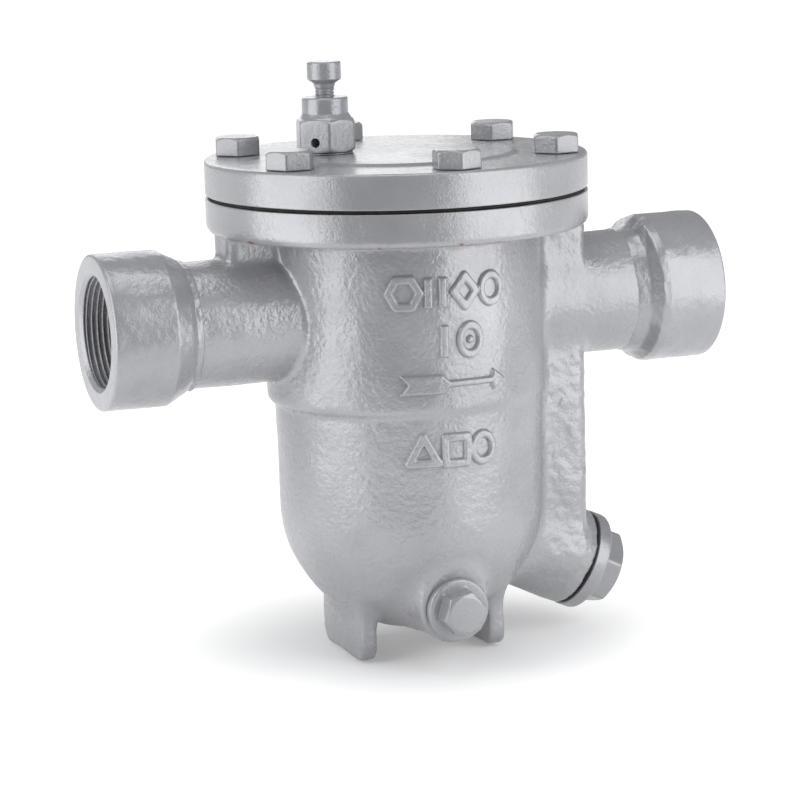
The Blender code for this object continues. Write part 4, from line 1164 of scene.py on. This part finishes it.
def raised_patch(name, marks, span_u, span_v, spacing=0.00042):
    """Patch of the barrel that carries raised marks: its radius is the barrel's, less a sunk
    margin, plus a soft step where the marks' field is negative."""
    sizes = bpy.context.scene.trap_casting
    u = np.arange(span_u[0], span_u[1] + spacing, spacing)
    v = np.arange(span_v[0], span_v[1] + spacing, spacing)
    uu, vv = np.meshgrid(u, v, indexing="ij")
    step = np.clip(0.5 - marks(uu, vv) / MARK_SLOPE, 0, 1)
    rise = step * step * (3 - 2 * step) * (sizes.mark_height + MARK_SUNK) - MARK_SUNK
    angle = uu / UPPER_R - math.pi / 2
    direction = np.stack([np.cos(angle), np.sin(angle), np.zeros(angle.shape)], axis=-1)
    if span_v[0] > SEAM_Z:
        centre_x, barrel_r, flatten = UPPER_X, UPPER_R, UPPER_FLATTEN
    else:
        centre_x, barrel_r, flatten = 0.0, BARREL_R - 0.00015, 1.0
    reach = barrel_r / np.hypot(direction[..., 0], direction[..., 1] * flatten)
    skin = np.stack([centre_x + direction[..., 0] * reach, direction[..., 1] * reach, vv], axis=-1)
    skin = skin.reshape(-1, 3)
    relief = cast_relief(skin) * sizes.relief
    points = skin + (rise.ravel() + relief)[:, None] * direction.reshape(-1, 3)
    columns = len(v)
    i = np.arange(len(u) - 1)[:, None] * columns
    j = np.arange(columns - 1)
    quads = np.stack([i + j, i + columns + j, i + columns + j + 1, i + j + 1], axis=2).reshape(-1, 4)
    patch = make_piece(name, points, [quads], "trap", material("cast_paint"), ("trap_body",))
    wall = patch.modifiers.new("Back", "SOLIDIFY")
    wall.thickness = MARK_WALL
    wall.offset = -1.0


def bar_mark(u, v, centre_u, centre_v, half_height):
    """Upright bar, a stroke to each side of its middle."""
    left, right = centre_u - STROKE, centre_u + STROKE
    low, high = centre_v - half_height, centre_v + half_height
    return outline_field(u, v, [(left, low), (right, low), (right, high), (left, high)])


def ring_mark(u, v, centre_u, centre_v, radius, narrowing):
    """Ring drawn with the stroke, narrower than it is high."""
    return np.abs(np.hypot((u - centre_u) * narrowing, v - centre_v) - radius) - STROKE


def drawn_mark(u, v, corners):
    """Closed outline drawn with the stroke."""
    return np.abs(outline_field(u, v, corners)) - STROKE


def arrow_marks(u, v):
    """Flow arrow: broad notched tail, narrow shaft and a small head."""
    middle = 0.1227
    outline = [(-0.0238, middle + 0.0040), (-0.0060, middle + 0.0040), (-0.0030, middle + 0.0014),
               (0.0160, middle + 0.0014), (0.0172, middle + 0.0046), (0.0236, middle + 0.0002),
               (0.0172, middle - 0.0044), (0.0160, middle - 0.0014), (-0.0030, middle - 0.0014),
               (-0.0060, middle - 0.0040), (-0.0238, middle - 0.0040), (-0.0205, middle)]
    return outline_field(u, v, outline)


def size_marks(u, v):
    """Upper row of plain foundry marks: hexagon, pair of bars, diamond and ring."""
    z = 0.1602
    marks = [drawn_mark(u, v, regular_outline(-0.0213, z, 0.0064, 0.0064, 6, 0)),
             bar_mark(u, v, -0.0113, z, 0.0062),
             bar_mark(u, v, -0.0053, z, 0.0062),
             drawn_mark(u, v, regular_outline(0.0045, z, 0.0050, 0.0062, 4)),
             ring_mark(u, v, 0.0170, z, 0.0056, 1.18)]
    return np.minimum.reduce(marks)


def class_marks(u, v):
    """Second row: one bar and a ring round a dot."""
    z = 0.1402
    dot = np.hypot(u - 0.0066, v - z) - 0.0016
    bar = bar_mark(u, v, -0.0048, z, 0.0066)
    ring = ring_mark(u, v, 0.0066, z, 0.0059, 1.25)
    return np.minimum.reduce([bar, ring, dot])


def metal_marks(u, v):
    """Bottom row: triangle, square and ring."""
    z = 0.0950
    marks = [drawn_mark(u, v, regular_outline(-0.0155, z - 0.0012, 0.0072, 0.0072, 3)),
             drawn_mark(u, v, regular_outline(-0.0012, z, 0.0070, 0.0076, 4, 45)),
             ring_mark(u, v, 0.0112, z, 0.0056, 1.15)]
    return np.minimum.reduce(marks)


class TRAP_OT_marks(Operator):
    """Build the raised flow arrow and the plain foundry marks on the barrel's front"""
    bl_idname = "trap.marks"
    bl_label = "Raised marks"

    def execute(self, context):
        raised_patch("flow_arrow", arrow_marks, (-0.0262, 0.0262), (0.1165, 0.1290))
        raised_patch("size_marks", size_marks, (-0.0302, 0.0250), (0.1518, 0.1688))
        raised_patch("class_marks", class_marks, (-0.0085, 0.0135), (0.1320, 0.1485))
        raised_patch("metal_marks", metal_marks, (-0.0245, 0.0185), (0.0865, 0.1035))
        return {"FINISHED"}


def float_half_rows(side, radius):
    """rows[s, t] of one half of the hollow float: a quarter circle outside, and back inside."""
    seam = math.asin(GAP / 2 / radius)
    angles = np.linspace(math.pi / 2, seam, 40)
    circle = np.stack([np.cos(angles), np.sin(angles)], axis=1)
    profile = np.concatenate([circle * radius, (circle * (radius - FLOAT_WALL))[::-1]])
    profile[:, 1] *= side
    return turned_rows(profile[::side], 128)


class TRAP_OT_insides(Operator):
    """Build the float and give the other inner pieces their finishes"""
    bl_idname = "trap.insides"
    bl_label = "Insides"

    def execute(self, context):
        radius = (FLOAT_HIGH.x - FLOAT_LOW.x) / 2
        centre = Vector(((FLOAT_LOW.x + FLOAT_HIGH.x) / 2, 0, FLOAT_HIGH.z - radius))
        halves = ((1, "float_upper_half", "float_top"), (-1, "float_lower_half", "float_bottom"))
        for side, node, name in halves:
            points, faces = carried_round(placed(float_half_rows(side, radius), centre), False)
            make_piece(name, points, faces, "float", material("bright_steel"), (node,))
        finishes = {"vent_washer": "fitting_paint", "orifice_washer": "copper_metal"}
        for name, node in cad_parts.items():
            if node.hide_render:
                continue
            node.data.materials.clear()
            node.data.materials.append(material(finishes.get(name, "bright_steel")))
        return {"FINISHED"}


def soft_box(name, azimuth, distance, height, size, radiance, aim_z):
    """Rectangular area light at an azimuth in degrees and a height, facing a point on the Z axis."""
    turn = math.radians(azimuth)
    place = Vector((math.sin(turn) * distance, -math.cos(turn) * distance, height))
    lamp = bpy.data.lights.new(name, "AREA")
    lamp.shape = "RECTANGLE"
    lamp.size, lamp.size_y = size
    lamp.energy = radiance * math.pi * size[0] * size[1]
    item = bpy.data.objects.new(name, lamp)
    bpy.context.scene.collection.objects.link(item)
    item.location = place
    item.rotation_mode = "QUATERNION"
    item.rotation_quaternion = (Vector((0, 0, aim_z)) - place).to_track_quat("-Z", "Y")


def floor_material(forward):
    """Pale floor with painted light: it glows behind and beside the trap, is plain towards the camera,
    and its glow fades a little close under the trap, which is a painted shadow."""
    # Material for the floor's painted glow and the painted shadow under the trap.
    nodes = Nodes("floor_glow_painted_shadow")
    shader = nodes.shader
    shader.inputs["Base Color"].default_value = (0.70, 0.70, 0.70, 1)
    shader.inputs["Roughness"].default_value = 0.9
    shader.inputs["Specular IOR Level"].default_value = 0.1
    shader.inputs["Emission Color"].default_value = (1, 1, 1, 1)
    depth = nodes.add("ShaderNodeVectorMath", {"operation": "DOT_PRODUCT"})
    nodes.join(nodes.place, depth, 0)
    depth.inputs[1].default_value = forward
    reach = nodes.add("ShaderNodeVectorMath", {"operation": "LENGTH"})
    nodes.join(nodes.place, reach, 0)
    # Painted light: the floor's glow stops short of the camera side, rising over a band in front of the
    # trap.
    ahead = nodes.spread(depth.outputs["Value"], -0.42, -0.27)
    # Painted shadow: the glow falls to 0.30 of its strength close under the trap.
    near = nodes.spread(reach.outputs["Value"], 0.03, 0.15, start=0.30)
    # Painted light: the glow grows from 0.62 to 0.78 further behind the trap.
    behind = nodes.spread(depth.outputs["Value"], 0.0, 1.2, 0.62, 0.78)
    # The floor's emission is painted light standing in for a bright backdrop, with the painted shadow in it.
    glow = nodes.product(nodes.product(ahead, near), behind)
    nodes.join(glow, shader, "Emission Strength")
    return nodes.material


class TRAP_OT_stage(Operator):
    """Set up the floor, with its painted glow and painted shadow, the soft boxes and the camera"""
    bl_idname = "trap.stage"
    bl_label = "Stage"

    def execute(self, context):
        stage = context.scene.trap_stage
        reach = FLOOR_REACH
        corners = [(-reach, -reach, 0), (reach, -reach, 0), (reach, reach, 0), (-reach, reach, 0)]
        mesh = bpy.data.meshes.new("floor")
        mesh.from_pydata(corners, [], [(0, 1, 2, 3)])
        floor = bpy.data.objects.new("floor", mesh)
        context.scene.collection.objects.link(floor)
        floor.location.z = FLOOR_Z
        toward = Vector((-math.sin(stage.azimuth), math.cos(stage.azimuth), 0))
        mesh.materials.append(floor_material(toward))
        world = bpy.data.worlds.new("studio")
        world.use_nodes = True
        background = world.node_tree.nodes["Background"]
        background.inputs["Color"].default_value = WORLD_COLOUR
        background.inputs["Strength"].default_value = WORLD_STRENGTH
        context.scene.world = world
        for name, azimuth, distance, height, size, radiance, aim_z in SOFT_BOXES:
            soft_box(name, azimuth, distance, height, size, radiance * stage.light, aim_z)
        context.scene.view_settings.view_transform = "Standard"
        self.place_camera(context, stage)
        return {"FINISHED"}

    def place_camera(self, context, stage):
        """Camera on a sphere round its target, turned by the roll about its line of sight."""
        a, e = stage.azimuth, stage.elevation
        back = Vector((math.sin(a) * math.cos(e), -math.cos(a) * math.cos(e), math.sin(e)))
        data = bpy.data.cameras.new("camera")
        data.lens = stage.lens
        data.shift_x, data.shift_y = CAMERA_SHIFT
        data.clip_end = 50
        camera = bpy.data.objects.new("camera", data)
        context.scene.collection.objects.link(camera)
        camera.location = CAMERA_TARGET + back * stage.distance
        camera.rotation_mode = "QUATERNION"
        level = (-back).to_track_quat("-Z", "Y")
        camera.rotation_quaternion = level @ Quaternion((0, 0, 1), stage.roll)
        context.scene.camera = camera


class TRAP_PT_panel(Panel):
    """Sidebar panel with the sizes, the finishes and a button for each operator"""
    bl_label = "Steam Trap"
    bl_idname = "TRAP_PT_panel"
    bl_space_type = "VIEW_3D"
    bl_region_type = "UI"
    bl_category = "Steam Trap"

    def draw(self, context):
        layout = self.layout
        for group in (context.scene.trap_casting, context.scene.trap_paint, context.scene.trap_stage):
            column = layout.column(align=True)
            for key in group.__annotations__:
                column.prop(group, key)
        for operator in OPERATORS:
            layout.operator(operator.bl_idname)


GROUPS = {"trap_casting": TrapCasting, "trap_paint": TrapPaint, "trap_stage": TrapStage}
OPERATORS = (TRAP_OT_casting, TRAP_OT_sockets, TRAP_OT_flanges, TRAP_OT_cover_bolts, TRAP_OT_vent_valve,
             TRAP_OT_plugs, TRAP_OT_marks, TRAP_OT_insides, TRAP_OT_stage)


def register():
    for group in GROUPS.values():
        bpy.utils.register_class(group)
    for operator in OPERATORS:
        bpy.utils.register_class(operator)
    bpy.utils.register_class(TRAP_PT_panel)
    for key, group in GROUPS.items():
        setattr(bpy.types.Scene, key, PointerProperty(type=group))


def unregister():
    for key in GROUPS:
        delattr(bpy.types.Scene, key)
    bpy.utils.unregister_class(TRAP_PT_panel)
    for operator in reversed(OPERATORS):
        bpy.utils.unregister_class(operator)
    for group in reversed(list(GROUPS.values())):
        bpy.utils.unregister_class(group)


def main():
    register()
    for operator in OPERATORS:
        space, call = operator.bl_idname.split(".")
        getattr(getattr(bpy.ops, space), call)()


if __name__ == "__main__":
    main()
